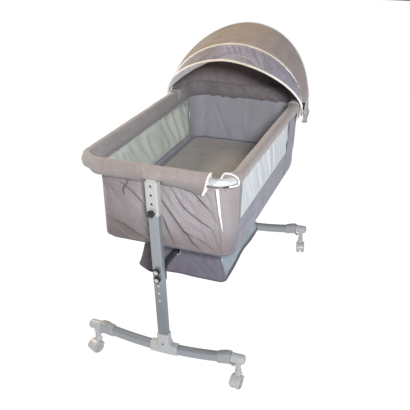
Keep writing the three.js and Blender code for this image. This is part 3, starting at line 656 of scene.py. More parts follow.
for end, s in (("front", -1), ("rear", 1)):
    half = 0 if s < 0 else 180
    put = lambda part: turn(part, half, (0, s * POST_Y, 0))
    # foot tube
    v, f = put(sweep(foot_path(-245, 245, 61), oval(28, 38, 3.0, 40)))
    o = make(f"foot_{end}", v, f, M_FOOT, "base", angle=50)
    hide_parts(f"foot_tube_{end}")
    # T-joint: saddle and socket
    saddle = tube_with_edges(foot_path(-53, 53, 21), oval(34, 42.5, 4.0, 40), 2.0)
    zs = np.linspace(98, 158.6, 16)
    sock = []
    for z in zs:
        q = (z - 98) / 62
        w = 64 - 20 * smooth(q, 0.0, 0.55)
        d = 33.6 + 0.9 * math.sin(math.pi * q)
        sock.append([(x, y, z) for x, y in rrect(w, d, 6, 6)])
    for i, z in ((0.7, 159.6), (1.8, 160.0)):
        sock.append([(x, y, z) for x, y in rrect(44 - 2 * i, 33.7 - 2 * i, 6 - i, 6)])
    o = make(f"tee_{end}", *put(join(saddle, loft(sock))), M_GREY, "base", angle=42)
    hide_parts(f"foot_tee_{end}")
    v, f = put(disc(3.6, 0.9, "y", (0, -17.2, 117), 0.5, 24, -1))
    o = make(f"tee_screw_{end}", v, f, M_SCREW, "base", angle=40)
    # a near-black ring on the screw head for its slot: painted shade in the groove
    ring = sweep([(2.4 * math.cos(q), -18.15, 117 + 2.4 * math.sin(q)) for q in np.linspace(0, 2 * np.pi, 13)[:-1]], circle(0.4, 6), up=np.array([0, 1.0, 0]), closed=True)
    o = make(f"tee_screw_slot_shade_{end}", *put(ring), M_HOLE_SHADE, "base")
    # post
    o = make(f"post_{end}_tube", *put(loft([[(x, y, z) for x, y in rrect(36, 26, 3.4, 6)] for z in (118.5, 250, 400, 550, 663.4, 664)])), M_SILVER, "base", angle=50)
    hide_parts(f"post_{end}")
    for k, z in enumerate((371, 340, 309)):
        plug = join(disc(4.6, 0.7, "y", (0, -12.52, z), 0.25, 28, -1), disc(3.0, 1.15, "y", (0, -12.1, z), 0.2, 28, -1))
        o = make(f"post_plug_{end}_{k}", *put(plug), M_WHITE, "base", angle=50)
    # seam line of the post's plastic top insert is inside the sleeve; a thin gasket ring in ivory plastic shows at the
    # post's foot above the tee
    gasket = loft([[(x, y, z) for x, y in rrect(36 + 2 * g, 26 + 2 * g, 3.4 + g, 6)] for g, z in ((0.05, 160.4), (0.8, 160.5), (0.8, 161.6), (0.05, 161.8))])
    o = make(f"post_gasket_{end}", *put(gasket), M_IVORY, "base", angle=50)
    # height sleeve
    rings = [[(x, y, z) for x, y in rrect(43 - 2 * i, 32 - 2 * i, 6 - i, 7)] for i, z in ((1.0, 646), (0.25, 646.3), (0, 647.2), (0, 700), (0, 758), (0.4, 762.6), (1.2, 764))]
    saddle = loft([[(x, y, z) for x, y in rrect(32, 38, 5, 6)] for z in (760, 772.4)])
    saddle = (saddle[0] + [0, 5.0, 0], saddle[1])
    o = make(f"sleeve_{end}", *put(loft(rings)), M_WHITE)
    holes = [turn(lathe([(0, -6), (4.4, -6), (4.4, 2.6), (0, 2.6)], 28, "y"), 0, (0, -16, 657 + 31 * k)) for k in range(1, 4)]
    drill(o, [put(h) for h in holes])
    o.data.polygons.foreach_set("use_smooth", [True] * len(o.data.polygons))
    o.data.set_sharp_from_angle(angle=rad(38))
    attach(o, "crib")
    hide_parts(f"height_sleeve_{end}")
    for k in range(1, 4):
        # a near-black disc at the bottom of each drilled hole: painted shade inside the hole
        v, f = lathe([(0, 0), (4.38, 0), (4.38, 0.4), (0, 0.4)], 28, "y")
        o = make(f"sleeve_hole_shade_{end}_{k}", *put((v + [0, -13.85, 657 + 31 * k], f)), M_HOLE_SHADE, "crib", angle=40)
        lip = sweep([(4.6 * math.cos(q), -15.88, 657 + 31 * k + 4.6 * math.sin(q)) for q in np.linspace(0, 2 * np.pi, 29)[:-1]], circle(0.35, 8), up=np.array([0, 1.0, 0]), closed=True)
        o = make(f"sleeve_lip_{end}_{k}", *put(lip), M_WHITE, "crib")
    o = make(f"sleeve_saddle_{end}", *put(saddle), M_WHITE, "crib", angle=40)
    # knobs
    for nm, y, z, body in ((f"height_knob_{end}", -16.3, 657, f"height_knob_{end}"), (f"bar_knob_{end}_upper", -13.3, 433, f"bar_knob_{end}_upper"), (f"bar_knob_{end}_lower", -13.3, 402, f"bar_knob_{end}_lower")):
        v, f = star_knob()
        o = make(nm + "_star", *put((v + [0, y, z], f)), M_BLACK, body, angle=48)
        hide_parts(nm)
        big = nm.startswith("bar")
        capr = 8.0 if big else 5.2
        cap = disc(capr, 0.55, "y", (0, y - 12.55, z), 0.4, 32, -1)
        o = make(nm + "_cap", *put(cap), M_WHITE if big else M_BLACK, body, angle=40)

# collars, caster heads
for key, sx, sy in (("fl", -1, -1), ("fr", 1, -1), ("rl", -1, 1), ("rr", 1, 1)):
    half = 0 if sx > 0 else 180
    put = lambda part: turn(part, half, (0, sy * POST_Y, 0))
    xs = [207, 207.6, 209, 214, 226, 240, 255.6, 256.7, 257]
    sh = [0.93, 0.98, 1.0, 1.0, 1.0, 1.0, 1.0, 0.97, 0.93]
    rings = []
    for x, k in zip(xs, sh):
        w = np.interp(x, [207, 214, 240, 257], [31.5, 33, 34, 34]) * k
        h = np.interp(x, [207, 214, 240, 257], [42, 44, 46, 45]) * k
        z = np.interp(x, [207, 214, 240, 257], [foot_z(207), foot_z(212), 116.5, 118])
        rings.append([(x, y, z + q) for y, q in oval(w, h, 4.0, 40)])
    body_part = loft(rings)
    hook = []
    for x, h, z in ((249, 8.5, 97.2), (256, 8, 92), (262, 7, 88), (268, 6, 86), (269, 4, 86)):
        hook.append([(x, y, z + q) for y, q in rrect(12 if x < 269 else 10, h, 1.9, 4)])
    groove = loft([[(x, y, 116.2 + q) for y, q in oval(w, w + 12, 4.0, 40)] for x, w in ((233.5, 33.0), (234.0, 35.0), (235.6, 35.0), (236.1, 33.0))])
    o = make(f"collar_{key}", *put(join(body_part, loft(hook), groove)), M_COLLAR, "base", angle=42)
    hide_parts(f"foot_collar_{key}")
    barrel = lathe([(0, 257.4), (15.6, 257.4), (16.4, 258.2), (17.6, 259.4), (17.6, 298), (17.2, 301), (15.8, 304), (13.2, 306.4), (9.5, 307.8), (5, 308.3), (0, 308.4)], 40, "x")
    barrel = (barrel[0] + [0, 0, 120], barrel[1])
    neck = lathe([(0, 68), (8.2, 68), (8.7, 68.5), (9.3, 78), (10.3, 90), (11.4, 97), (13.2, 104), (14.5, 112), (0, 118)], 32)
    neck = (neck[0] + [282.5, 0, 0], neck[1])
    rib = block(246, 257, -5, 5, 104, 136, 1)
    ring = lathe([(0, 68.2), (10.4, 68.2), (10.9, 68.7), (10.9, 70.3), (10.4, 70.8), (0, 70.8)], 32)
    ring = (ring[0] + [282.5, 0, 0], ring[1])
    o = make(f"head_{key}", *put(join(barrel, neck, ring)), M_GREY, f"caster_head_{key}", angle=40)
    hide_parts(f"caster_head_{key}")

TURN = {"fr": -96, "fl": -115, "rl": -60, "rr": -75}
TRAIL, WR = 14.0, 24.0
for key, sx, sy in (("fl", -1, -1), ("fr", 1, -1), ("rl", -1, 1), ("rr", 1, 1)):
    put = lambda part: turn(part, TURN[key], (sx * 282.5, sy * POST_Y, 0))
    # swivel housing: curved hood with rounded sides, web and top boss
    ang = np.radians(np.linspace(8, 172, 33))
    rings = []
    for a in ang:
        c, s = math.cos(a), math.sin(a)
        sec = []
        for rr, y in ((25.3, -18.6), (26.6, -18.6), (27.6, -17.4), (28.0, -15.0), (28.2, -8), (28.3, 0), (28.2, 8), (28.0, 15.0), (27.6, 17.4), (26.6, 18.6), (25.3, 18.6), (25.3, 8), (25.3, -8)):
            sec.append((TRAIL + rr * c, y, WR + rr * s))
        rings.append(sec)
    hood = loft(rings)
    web = [(-9, 49), (-8, 40), (-6, 32), (0, 24), (6, 19), (14, 17.5), (22, 18), (27, 22), (28.5, 30), (27.5, 40), (24, 46), (17, 50)]
    webp = loft([[(x, y, z) for x, z in web] for y in (-2.4, 2.4)])
    boss = lathe([(0, 46), (10.4, 46), (10.6, 52), (10.6, 62), (10.0, 66.8), (9.4, 67.6), (0, 67.6)], 32)
    neckfill = loft([[(x - (0 if z > 52 else (52 - z) * -0.3), y, z) for x, y in rrect(21 + (60 - z) * 0.9, 20 + (60 - z) * 0.6, 8, 6)] for z in (62, 58, 54, 50.5)][::-1])
    o = make(f"cover_{key}", *put(join(hood, webp, boss, neckfill)), M_WHITE, f"caster_cover_{key}", angle=40)
    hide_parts(f"caster_cover_{key}")
    # twin wheels with a tread step, hub recess and spokes ring
    prof = [(0, 15.2), (3.2, 15.2), (4.0, 16.6), (7.4, 16.8), (8.4, 15.2), (12.5, 14.4), (16.6, 15.2), (17.6, 17.4), (20.0, 18.0), (22.6, 17.0), (23.7, 14.6), (24.0, 11.5), (24.0, 7.4), (23.3, 4.6), (22.2, 3.5), (18, 3.4), (0, 3.4)]
    outer = lathe([(r, y) for r, y in prof], 48, "y")
    inner = (outer[0] * [1, -1, 1], outer[1])
    parts = [(p[0] + [TRAIL, 0, WR], p[1]) for p in (outer, inner)]
    hubcaps = []
    for sgn in (-1, 1):
        for k in range(6):
            a = rad(60 * k)
            hubcaps.append(turn(block(9, 16.5, -1.1, 1.1, 0, 1.2, 0.4, 2), 0))
            v, f = hubcaps.pop()
            v = v.copy()
            x, y, z = v[:, 0].copy(), v[:, 1].copy(), v[:, 2].copy()
            V = np.stack([x * math.cos(a) - y * math.sin(a), sgn * (14.5 + z), x * math.sin(a) + y * math.cos(a)], 1)
            parts.append((V + [TRAIL, 0, WR], f))
    o = make(f"wheels_{key}", *put(join(*parts)), M_IVORY, f"caster_wheels_{key}", angle=38)
    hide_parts(f"caster_wheels_{key}")
    axle = lathe([(0, -16.2), (2.4, -16.2), (2.4, 16.2), (0, 16.2)], 20, "y")
    o = make(f"axle_{key}", *put((axle[0] + [TRAIL, 0, WR], axle[1])), M_SCREW, f"caster_wheels_{key}", angle=40)

# crossbar and brackets
bar = sweep([(0, y, 425) for y in np.linspace(-452, 452, 21)], rrect(16, 22, 5, 6))
o = make("crossbar_tube", *bar, M_BAR, "crossbar", angle=50)
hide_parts("crossbar")
for end, s in (("front", -1), ("rear", 1)):
    half = 0 if s < 0 else 180
    plate = loft([[(x, y, 418 + z) for x, z in rrect(38 - 2 * i, 68 - 2 * i, 5 - i, 6)] for i, y in ((0.8, -458.7), (0, -457.9), (0, -455.5), (0.8, -454.7))])
    cup = loft([[(x, y, 425 + z) for x, z in rrect(24 - 2 * i, 30 - 2 * i, 7, 6)] for i, y in ((-3, -455), (-0.6, -451), (0, -446), (0, -433.5), (0.8, -432.4), (2.2, -432))])
    o = make(f"bracket_{end}", *turn(join(plate, cup), half), M_BLACK, "crossbar", angle=42)
    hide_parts(f"bar_bracket_{end}")

# ---------------------------------------------------------------------- rail
CX, CY = RAIL_HX - RAIL_CR, RAIL_HY - RAIL_CR
U_ROUTE = np.concatenate([[[SPLIT_X, -RAIL_HY]], arc(-CX, -CY, RAIL_CR, 270, 180, 24), arc(-CX, CY, RAIL_CR, 180, 90, 24), arc(CX, CY, RAIL_CR, 90, 0, 24), [[RAIL_HX, SPLIT_Y]]])
D_ROUTE = np.concatenate([[[SPLIT_X, -RAIL_HY]], arc(CX, -CY, RAIL_CR, -90, 0, 24), [[RAIL_HX, SPLIT_Y]]])


def at_z(P, z=RAIL_Z):
    return np.concatenate([P, np.full((len(P), 1), z)], 1)


def cut_route(P, s0, s1, step):
    """The stretch of a route from s0 to s1 millimetres along it."""
    q = resample(P, step=1.0)
    s = np.r_[0, np.cumsum(np.linalg.norm(np.diff(q, axis=0), axis=1))]
    s1 = s[-1] + s1 if s1 <= 0 else s1
    n = max(2, int((s1 - s0) / step) + 1)
    t = np.linspace(s0, s1, n)
    return np.stack([np.interp(t, s, q[:, 0]), np.interp(t, s, q[:, 1])], 1)


o = make("rail_tube", *sweep(at_z(cut_route(U_ROUTE, 0.6, -0.4, 8)), circle(12.5, 28)), M_TUBE, "crib", angle=50)
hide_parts("rail_frame")
tube = sweep(at_z(cut_route(D_ROUTE, 0.4, -0.4, 6)), circle(12.5, 32))
insert = sweep(at_z(cut_route(D_ROUTE, -0.0, 12, 3)), circle(12.9, 32))
o = make("drop_tube", *tube, M_TUBE, "drop_side", angle=50)
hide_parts("drop_bar")
o = make("drop_tube_ferrule", *insert, M_WHITE, "drop_side", angle=50)

BUTTONS = [(CX + RAIL_CR * math.sin(rad(37.5)), -CY - RAIL_CR * math.cos(rad(37.5))), (RAIL_HX, SPLIT_Y - 14)]
for k, (x, y) in enumerate(BUTTONS):
    nm = "front" if k == 0 else "rear"
    v, f = lathe([(0, 767.5), (4.2, 767.5), (5.2, 768.0), (5.6, 769), (5.6, 776), (0, 776)], 28)
    o = make(f"button_{nm}", v + [x, y, 0], f, M_BUTTON, f"release_button_{nm}", angle=40)
    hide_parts(f"release_button_{nm}")
    bezel = loft([[(x + a * (9.5 - i), y + b * (7.4 - i), z) for a, b in circle(1, 32)] for i, z in ((1.6, 769.4), (0.5, 769.2), (0, 770.0), (0, 776))])
    if k == 0:
        o = make(f"button_bezel_{nm}", *bezel, M_BUTTON, "drop_side", angle=40)


def pad_section(n, low, top, half, waist=0.35):
    """The padding's section: round over the tube, drawn in a little at the seam underneath."""
    S = oval(2 * half, top - low, 2.7, n)
    S[:, 1] += (top + low) / 2 - RAIL_Z
    k = smooth(-S[:, 1], 4, RAIL_Z - low)
    S[:, 0] *= 1 - waist * k
    return S


def padding(name, route, low, top, half, seed, body, mat, node, notches=(), ends=(None, None), n=56, step=4.0, waist=0.35, amp=1.0, lean=None, lows=None, whole=None, start=0.0):
    P = at_z(route)
    if lows is None:
        S = np.repeat(pad_section(n, low, top, half, waist)[None], len(P), 0)
    else:
        S = np.stack([pad_section(n, lows(p), top, half, waist) for p in P])
    if lean is not None:
        for i, p in enumerate(P):
            S[i, :, 0] -= lean(p) * smooth(-S[i, :, 1], -6, 34)
    s = np.r_[0, np.cumsum(np.linalg.norm(np.diff(P, axis=0), axis=1))]
    # room for the height sleeves under the rail
    for i, p in enumerate(P):
        if notches and abs(p[0]) < 34 and abs(abs(p[1]) - RAIL_HY) < 2:
            k = 1 - float(smooth(abs(p[0]), 23.5, 32))
            over = k * smooth(S[i, :, 0], 2, 12) * smooth(26 - S[i, :, 1], 0, 18)
            lim = low - 20 - RAIL_Z + k * (766.0 - low + 20)
            lift = np.where(S[i, :, 1] < lim, lim + (S[i, :, 1] - lim) * 0.02, S[i, :, 1])
            S[i, :, 1] = np.where(S[i, :, 0] > -10.5, lift, S[i, :, 1])
            S[i, :, 0] += 11.6 * over
    t, nn, bb = frames(P)
    shift = np.zeros(S.shape[:2])
    for which, fn in enumerate(ends):
        if fn is None:
            continue
        d = s if which == 0 else s[-1] - s
        w = np.clip(1 - d / 60, 0, 1)[:, None]
        shift += (1 if which == 0 else -1) * w * fn(S)
    if whole is None:
        V = P[:, None] + nn[:, None] * S[..., :1] + bb[:, None] * S[..., 1:] + t[:, None] * shift[..., None]
    else:
        W = at_z(resample(whole, step=1.0))
        sw = np.r_[0, np.cumsum(np.linalg.norm(np.diff(W, axis=0), axis=1))]
        nw = frames(W)[1]
        at_s = start + s[:, None] + shift
        Pw = np.stack([np.interp(at_s, sw, W[:, i]) for i in range(3)], -1)
        Nw = unit(np.stack([np.interp(at_s, sw, nw[:, i]) for i in range(3)], -1))
        V = Pw + Nw * S[..., :1] + UP * S[..., 1:]
    # the cloth's own small puckers: along the seam underneath, and slack across the bends
    out = unit(nn[:, None] * S[..., :1] / half ** 2 + bb[:, None] * (S[..., 1:] + (RAIL_Z - (top + low) / 2)) / ((top - low) / 2) ** 2)
    ss = np.broadcast_to(s[:, None], S.shape[:2])
    zz = S[..., 1]
    q = np.stack([ss, zz, np.zeros_like(ss)], -1)
    d = field(q, (1 / 60, 1 / 30, 1), seed, 2) * 1.3 * amp
    pucker = smooth(-zz, 6, RAIL_Z - low)
    d += pucker * field(q, (1 / 11, 1 / 60, 1), seed + 5, 2) * 1.2 * amp
    slant = field(np.stack([ss + 1.3 * zz, zz, np.zeros_like(ss)], -1), (1 / 20, 1 / 90, 1), seed + 9, 2)
    d += (0.3 + 0.7 * pucker) * slant * 1.0 * amp
    head = smooth(P[:, 1], 330, 440)[:, None]
    crumple = field(np.stack([ss + 0.5 * zz, zz, np.zeros_like(ss)], -1), (1 / 52, 1 / 30, 1), seed + 13, 2)
    d *= 1 - 0.6 * head * smooth(-zz, 18, 44)
    bends = np.exp(-((P[:, 0] + 205) / 90) ** 2 - ((P[:, 1] + 415) / 90) ** 2)[:, None]
    d += (0.22 + 0.5 * bends) * (1 - head) * amp * ((1 - 2.6 * abs(crumple)) * 3.0 + slant * 3.0) * smooth(34 - abs(zz + 4), 0, 20)
    d += head * amp * ((1 - 2.6 * abs(crumple)) * 3.0 + slant * 1.6 + pucker * 0.4 * field(q, (1 / 26, 1 / 50, 1), seed + 15, 2)) * (1 - 0.75 * smooth(-zz, 18, 44))
    d *= np.clip(np.minimum(s, s[-1] - s) / 14, 0.15, 1)[:, None]
    V = V + out * d[..., None]
    m = S.shape[1]
    F = grid(len(P), m, cv=True)
    F.append(tuple(range(m - 1, -1, -1)))
    F.append(tuple(range((len(P) - 1) * m, len(P) * m)))
    o = make(name, V.reshape(-1, 3), F, mat, body, angle=70)
    if node:
        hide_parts(node)
    return o, V


def rim_piping(name, ring, r, mat, body, up=UP, closed=True):
    """A piped edge along a ring of points."""
    P = np.asarray(ring, float)
    if closed:
        P = resample(np.vstack([P, P[:1]]), step=3.0)[:-1]
        k = np.roll(P, 1, 0) + np.roll(P, -1, 0) + 2 * P
        P = k / 4
    else:
        P = resample(P, step=3.0)
    t = unit(np.roll(P, -1, 0) - np.roll(P, 1, 0)) if closed else unit(np.gradient(P, axis=0))
    c = P.mean(0)
    n = unit(np.cross(t, unit(P - c) + 1e-6))
    b = np.cross(t, n)
    S = circle(r, 10)
    V = P[:, None] + n[:, None] * S[None, :, :1] + b[:, None] * S[None, :, 1:]
    F = grid(len(P), 10, cu=closed, cv=True)
    if not closed:
        F.append(tuple(range(9, -1, -1)))
        F.append(tuple(range((len(P) - 1) * 10, len(P) * 10)))
    return make(name, V.reshape(-1, 3), F, mat, body)


def slant_front(S):
    """The near pad's cut: later on top, earlier at the seam."""
    return np.interp(S[..., 1], [-60, -30, 0, 27], [34.0, 20.0, 8.0, 0.0])


def slant_drop(S):
    """The drop side's cut: it wraps the inner side of the bend first and the outer side last."""
    a = np.degrees(np.arctan2(S[..., 1], -S[..., 0])) % 360.0          # 0 outwards, 90 up, 180 inwards
    return np.interp(a, [0, 36, 60, 90, 135, 180, 230, 270, 300, 360], [15, 11, 4, -8, -24, -34, -30, 0, 19, 15])


u_pts = cut_route(U_ROUTE, 1.2, -0.6, 4.0)


def pad_low(p):
    """How far down the padding's seam hangs: lowest at the near right end, on the left and across the far end."""
    near_ = smooth(-p[1], 400, 450) * (746 - 18 * smooth(p[0], 60, 190))
    far_ = smooth(p[1], 380, 440) * 738
    rest_ = (1 - smooth(-p[1], 400, 450)) * (1 - smooth(p[1], 380, 440)) * (742 if p[0] < 0 else 750)
    return float(near_ + far_ + rest_)


def pad_lean(p):
    """How far the padding's foot leans in to meet the wall under it."""
    return 13.0 if p[0] < 150 else float(13.0 - 9.0 * smooth(p[0], 200, 258) * smooth(p[1], -100, 0))


rail_o, RV = padding("rail_padding", u_pts, 750, 812, 17.4, 1.3, "crib", M_RAIL, "rail_pad", notches=(1,), ends=(slant_front, None), waist=0.42, lean=pad_lean, lows=pad_low)
d_start = RAIL_CR * math.pi / 2 * (1 - 38 / 90) + 6
d_pts = cut_route(D_ROUTE, d_start, -2.6, 4.0)
drop_o, DV = padding("drop_padding", d_pts, 766, 811.5, 17.0, 7.7, "drop_side", M_RAIL, "drop_side_pad", ends=(slant_drop, None), waist=0.15, amp=0.8, whole=D_ROUTE, start=d_start)
rim_piping("rail_piping", RV[0] + [1.0, 0, 0], 2.9, M_PIPING, "crib")
rim_piping("drop_piping", DV[0], 2.6, M_PIPING, "drop_side")

# ---------------------------------------------------------------- cloth walls
Z0, Z1, ZM = 487.5, 757.0, 603.0


def wall_at(z):
    s = (z - 490) / 276
    return dict(hy=413 + 27 * s, xl=238.0, rl=26 + 59 * s, rr=50 + 10 * s, xr=np.interp(z, [490, 603, 766], [240, 248, 258]))


def angle_at(w, x):
    return 270 + math.degrees(math.asin((x - (w["xr"] - w["rr"])) / w["rr"]))


def plan_front(z):
    w = wall_at(z)
    return np.concatenate([arc(-w["xl"] + w["rl"], -w["hy"] + w["rl"], w["rl"], 180, 270, 14), [[-60, -w["hy"]], [60, -w["hy"]]],
                           arc(w["xr"] - w["rr"], -w["hy"] + w["rr"], w["rr"], 270, angle_at(w, 201.8), 3)])


def plan_corner(z):
    w = wall_at(z)
    return np.concatenate([arc(w["xr"] - w["rr"], -w["hy"] + w["rr"], w["rr"], angle_at(w, 202.5), 360, 14), [[w["xr"], -362.0]]])


def plan_right(z, y0=-362.0, y1=236.5):
    w = wall_at(z)
    return np.array([[w["xr"], y0], [w["xr"], y1]])


def plan_rear(z):
    w = wall_at(z)
    return np.concatenate([[[w["xr"], SPLIT_Y + 3]], arc(w["xr"] - w["rr"], w["hy"] - w["rr"], w["rr"], 0, 90, 14), [[60, w["hy"]], [-60, w["hy"]]],
                           arc(-w["xl"] + w["rl"], w["hy"] - w["rl"], w["rl"], 90, 180, 14)])


def plan_left(z):
    w = wall_at(z)
    return np.array([[-w["xl"], w["hy"] - w["rl"] - 0.6], [-w["xl"], -w["hy"] + w["rl"] + 0.6]])


def wall_grid(plan, z0, z1, dz=5.0, du=6.0, nu=None):
    zs = np.linspace(z0, z1, int((z1 - z0) / dz) + 1)
    ref = resample(plan((z0 + z1) / 2), step=du)
    n = nu or len(ref)
    return np.stack([at_z(resample(plan(z), n=n), z) for z in zs])


def outward(P):
    """Horizontal outward normal of a wall grid whose columns run round the crib."""
    t = np.gradient(P, axis=1)
    n = unit(np.stack([t[..., 1], -t[..., 0], np.zeros(t.shape[:2])], -1))
    c = np.sum(n[..., :2] * P[..., :2], axis=-1)
    return n * np.where(np.median(c) > 0, 1.0, -1.0)


def tuck(P, n, r=12.0, z0=Z0):
    """Rounds the wall's bottom edge under the floor."""
    d = np.clip((z0 + r - P[..., 2]) / r, 0, 1)
    inset = r * (1 - np.sqrt(np.clip(1 - d * d, 0, 1)))
    return P - n * inset[..., None]


def curl(P, n, reach, z=735.0, skip=26.0):
    """Brings the wall's top edge out to the seam under the rail, but not behind the sleeves."""
    k = smooth(P[..., 2], z, Z1) * reach
    near = np.where(abs(P[..., 1]) > 400, smooth(abs(P[..., 0]), skip, skip + 18), 1.0)
    return P + n * (k * near)[..., None]


# near end: long slack folds that run from the upper left to the lower right
P = wall_grid(plan_front, Z0, Z1, 3.0, 3.4)
n = outward(P)
x, z = P[..., 0], P[..., 2]
FOLDS = [
    ([(-156, 724), (-112, 699), (-90, 676), (-62, 640), (-30, 600)], 7.0, 9.0),
    ([(-205, 572), (-142, 544), (-105, 519), (-71, 498), (-40, 490)], 7.0, 8.0),
    ([(-200, 722), (-176, 687), (-152, 649), (-132, 606)], 3.5, 9.0),
    ([(-10, 690), (8, 662), (29, 627), (60, 584), (88, 542), (107, 510), (130, 488)], 9.5, 9.0),
    ([(44, 716), (56, 695), (77, 660), (112, 627), (144, 611), (169, 599), (192, 572)], 7.5, 8.0),
    ([(88, 742), (104, 731), (137, 701), (162, 671), (180, 638), (192, 602)], 7.5, 9.0),
    ([(56, 590), (80, 572), (102, 561), (141, 537), (164, 520), (184, 500)], 5.5, 5.5),
    ([(138, 746), (169, 716), (184, 684), (192, 650)], 4.5, 7.0),
    ([(4, 600), (8, 575), (17, 540), (36, 498)], 7.0, 8.0),
    ([(-60, 584), (-30, 560), (0, 520), (20, 492)], 4.5, 8.0),
    ([(150, 612), (172, 580), (186, 548), (196, 510)], 5.0, 6.0),
]


def creased(x, z, folds, soft=14.0):
    """Height of a slack wall with valleys along the given lines and a bulge on either side of each."""
    h = np.zeros(x.shape)
    for pts, depth, width in folds:
        p = resample(np.array(pts, float), step=4.0)
        p = np.stack([np.convolve(np.pad(p[:, i], 6, "edge"), np.ones(13) / 13, "valid") for i in (0, 1)], 1)
        t = unit(np.gradient(p, axis=0))
        dx, dz = x[..., None] - p[:, 0], z[..., None] - p[:, 1]
        i = (dx * dx + dz * dz).argmin(-1)
        ex, ez = x - p[i, 0], z - p[i, 1]
        side = t[i, 0] * ez - t[i, 1] * ex
        along = t[i, 0] * ex + t[i, 1] * ez
        w = width * (0.7 + 0.5 * i / len(p))
        fade = np.exp(-(along / soft) ** 2) * np.clip(np.sin(np.pi * np.clip((i + 3) / (len(p) + 5), 0, 1)), 0, 1) ** 0.5
        valley = -depth * np.exp(-(side / w) ** 2)
        bulge = 0.75 * depth * np.exp(-((side - 1.9 * w) / (1.5 * w)) ** 2) + 0.45 * depth * np.exp(-((side + 1.8 * w) / (1.3 * w)) ** 2)
        h += (valley + bulge) * fade
    return h


th = rad(-52)
a = x * math.cos(th) + (z - 620) * math.sin(th)
b = -x * math.sin(th) + (z - 620) * math.cos(th)
bend = 22 * np.sin(a / 90.0) + 0.0006 * a * a
fine = field(np.stack([a / 90, (b + bend) / 13.0, np.zeros_like(a)], -1), (1, 1, 1), 8.4, 2)
zone = smooth(z, Z0 + 2, Z0 + 26) * smooth(Z1 - z, 0, 40) * smooth(x, -236, -205) * smooth(202 - x, 0, 22)
d = zone * (creased(x, z, [(f_, q_ * 1.9, w_ * 1.3) for f_, q_, w_ in FOLDS], 18.0) + 2.4 * fine)
d = np.where(z < 585, np.maximum(d, -(abs(P[..., 1]) - 407.5).clip(2.0, 60)), d)
edge = field(np.stack([x, z, z * 0], -1), (1 / 24, 1 / 120, 1), 4.4, 2) * smooth(z, 700, 752) * 1.6
P2 = curl(tuck(P, n), n, 3.0) + n * (d + edge)[..., None]
lim = P[..., 1] * 0 - 452.0
near_post = (abs(P2[..., 0]) < 34)
P2[..., 1] = np.where(near_post, np.maximum(P2[..., 1], -451.0), P2[..., 1])
V, F, sd = sheet_mesh(P2[:, ::-1], 1.4)
o = make("near_wall", V, F, [M_FRONT, M_INNER], "crib", face_mats=sd)
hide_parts("end_panel_front")
NEAR = P2

# zip along the split, on the flap's side
zz = np.linspace(752, 512, 60)


def zip_x(z):
    return np.interp(z, [500, 595, 659, 753], [214, 211.5, 206.5, 203.4])


def corner_point(z, xx):
    w = wall_at(z)
    aa = rad(angle_at(w, xx))
    return np.array([w["xr"] - w["rr"] + w["rr"] * math.cos(aa), -w["hy"] + w["rr"] + w["rr"] * math.sin(aa), z]), np.array([math.cos(aa), math.sin(aa), 0])


# corner flap, lower right side: one cloth round the corner and along the right side, cut off above the drop side's
# hinge line
ci = wall_grid(plan_corner, Z0, 766.0, 4.0, 4.5)
nz_ = ci.shape[0]
zs = ci[:, 0, 2]
ri = np.stack([at_z(resample(plan_right(z), n=86), z) for z in zs])[:, 1:]
P = np.concatenate([ci, ri], 1)
nc = ci.shape[1]
n = outward(P)
z = P[..., 2]
y = P[..., 1]
s_col = np.r_[0, np.cumsum(np.linalg.norm(np.diff(P[len(P) // 2, :, :2], axis=0), axis=1))]
ss = np.broadcast_to(s_col[None], z.shape)
q = np.stack([ss, z, np.zeros_like(z)], -1)
vert = field(q, (1 / 16, 1 / 150, 1), 2.2, 2) * np.where(ss < s_col[nc - 1], 2.2, 0.0)
sag = field(np.stack([ss + 0.8 * z, z, z * 0], -1), (1 / 70, 1 / 45, 1), 6.1, 2) * np.where(ss < s_col[nc - 1], 0.8, 2.4)
soft_z = smooth(z, Z0 + 3, Z0 + 30) * np.where(z < ZM, smooth(ZM + 4 - z, 0, 22) * 0.8 + 0.2, 1.0)
d = (vert + sag) * soft_z * smooth(ss, 0, 10)
d += np.where(ss < s_col[nc - 1] + 40, 1.0, 1.0) * 0
P3 = tuck(P, n) + n * d[..., None]
mask = np.ones((P.shape[0] - 1, P.shape[1] - 1), bool)
zc = (zs[:-1] + zs[1:]) / 2
mask[zc > ZM + 0.5, nc - 1:] = False
V, F, sd = sheet_mesh(P3[:, ::-1], 1.4, mask[:, ::-1])
o = make("corner_wall", V, F, [M_SIDE, M_INNER, M_FRONT], None)
me = o.data
for p in me.polygons:
    c = p.center / MM - Vector(AT)
    if p.normal.dot(Vector((c.x - 120, c.y + 250, 0))) < 0:
        p.material_index = 1
        continue
    wc = wall_at(c.z)
    turn_ = math.degrees(math.atan2(-(c.y + wc["hy"] - wc["rr"]), c.x - wc["xr"] + wc["rr"])) if c.y < -wc["hy"] + wc["rr"] else -(c.y + wc["hy"] - wc["rr"]) / wc["rr"] * 57.3
    if turn_ > (0 if c.z > 603 else (603 - c.z) / 113 * 50):
        p.material_index = 2
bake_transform(o)
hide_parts("drop_side_flap", "side_panel_right_lower")
CORNER = P3

# drop-side mesh window
P = wall_grid(lambda z: plan_right(z, -360.0, 236.0), ZM, 767.0, 6.0, 6.0)
n = outward(P)
q = np.stack([P[..., 1] + 0.55 * (P[..., 2] - 600), P[..., 2], P[..., 2] * 0], -1)
d = field(q, (1 / 30, 1 / 260, 1), 5.5, 2) * 5.0 * smooth(P[..., 2], ZM, ZM + 40) * smooth(767 - P[..., 2], 0, 30)
V, F, sd = sheet_mesh((P + n * d[..., None])[:, ::-1], 0.7)
o = make("drop_net", V, F, M_NET_R, "drop_side")
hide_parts("drop_side_mesh")
hem = np.stack([np.full(80, 248.6), np.linspace(-361, 235, 80), np.full(80, 603.5)], 1)
o = make("drop_net_hem", *sweep(hem, rrect(2.2, 7.0, 1.0, 3)), M_SIDE, "drop_side")
hem = np.array([[np.interp(z, [490, 603, 766], [240, 248, 258]) + 0.4, -361.5, z] for z in np.linspace(604, 768, 30)])
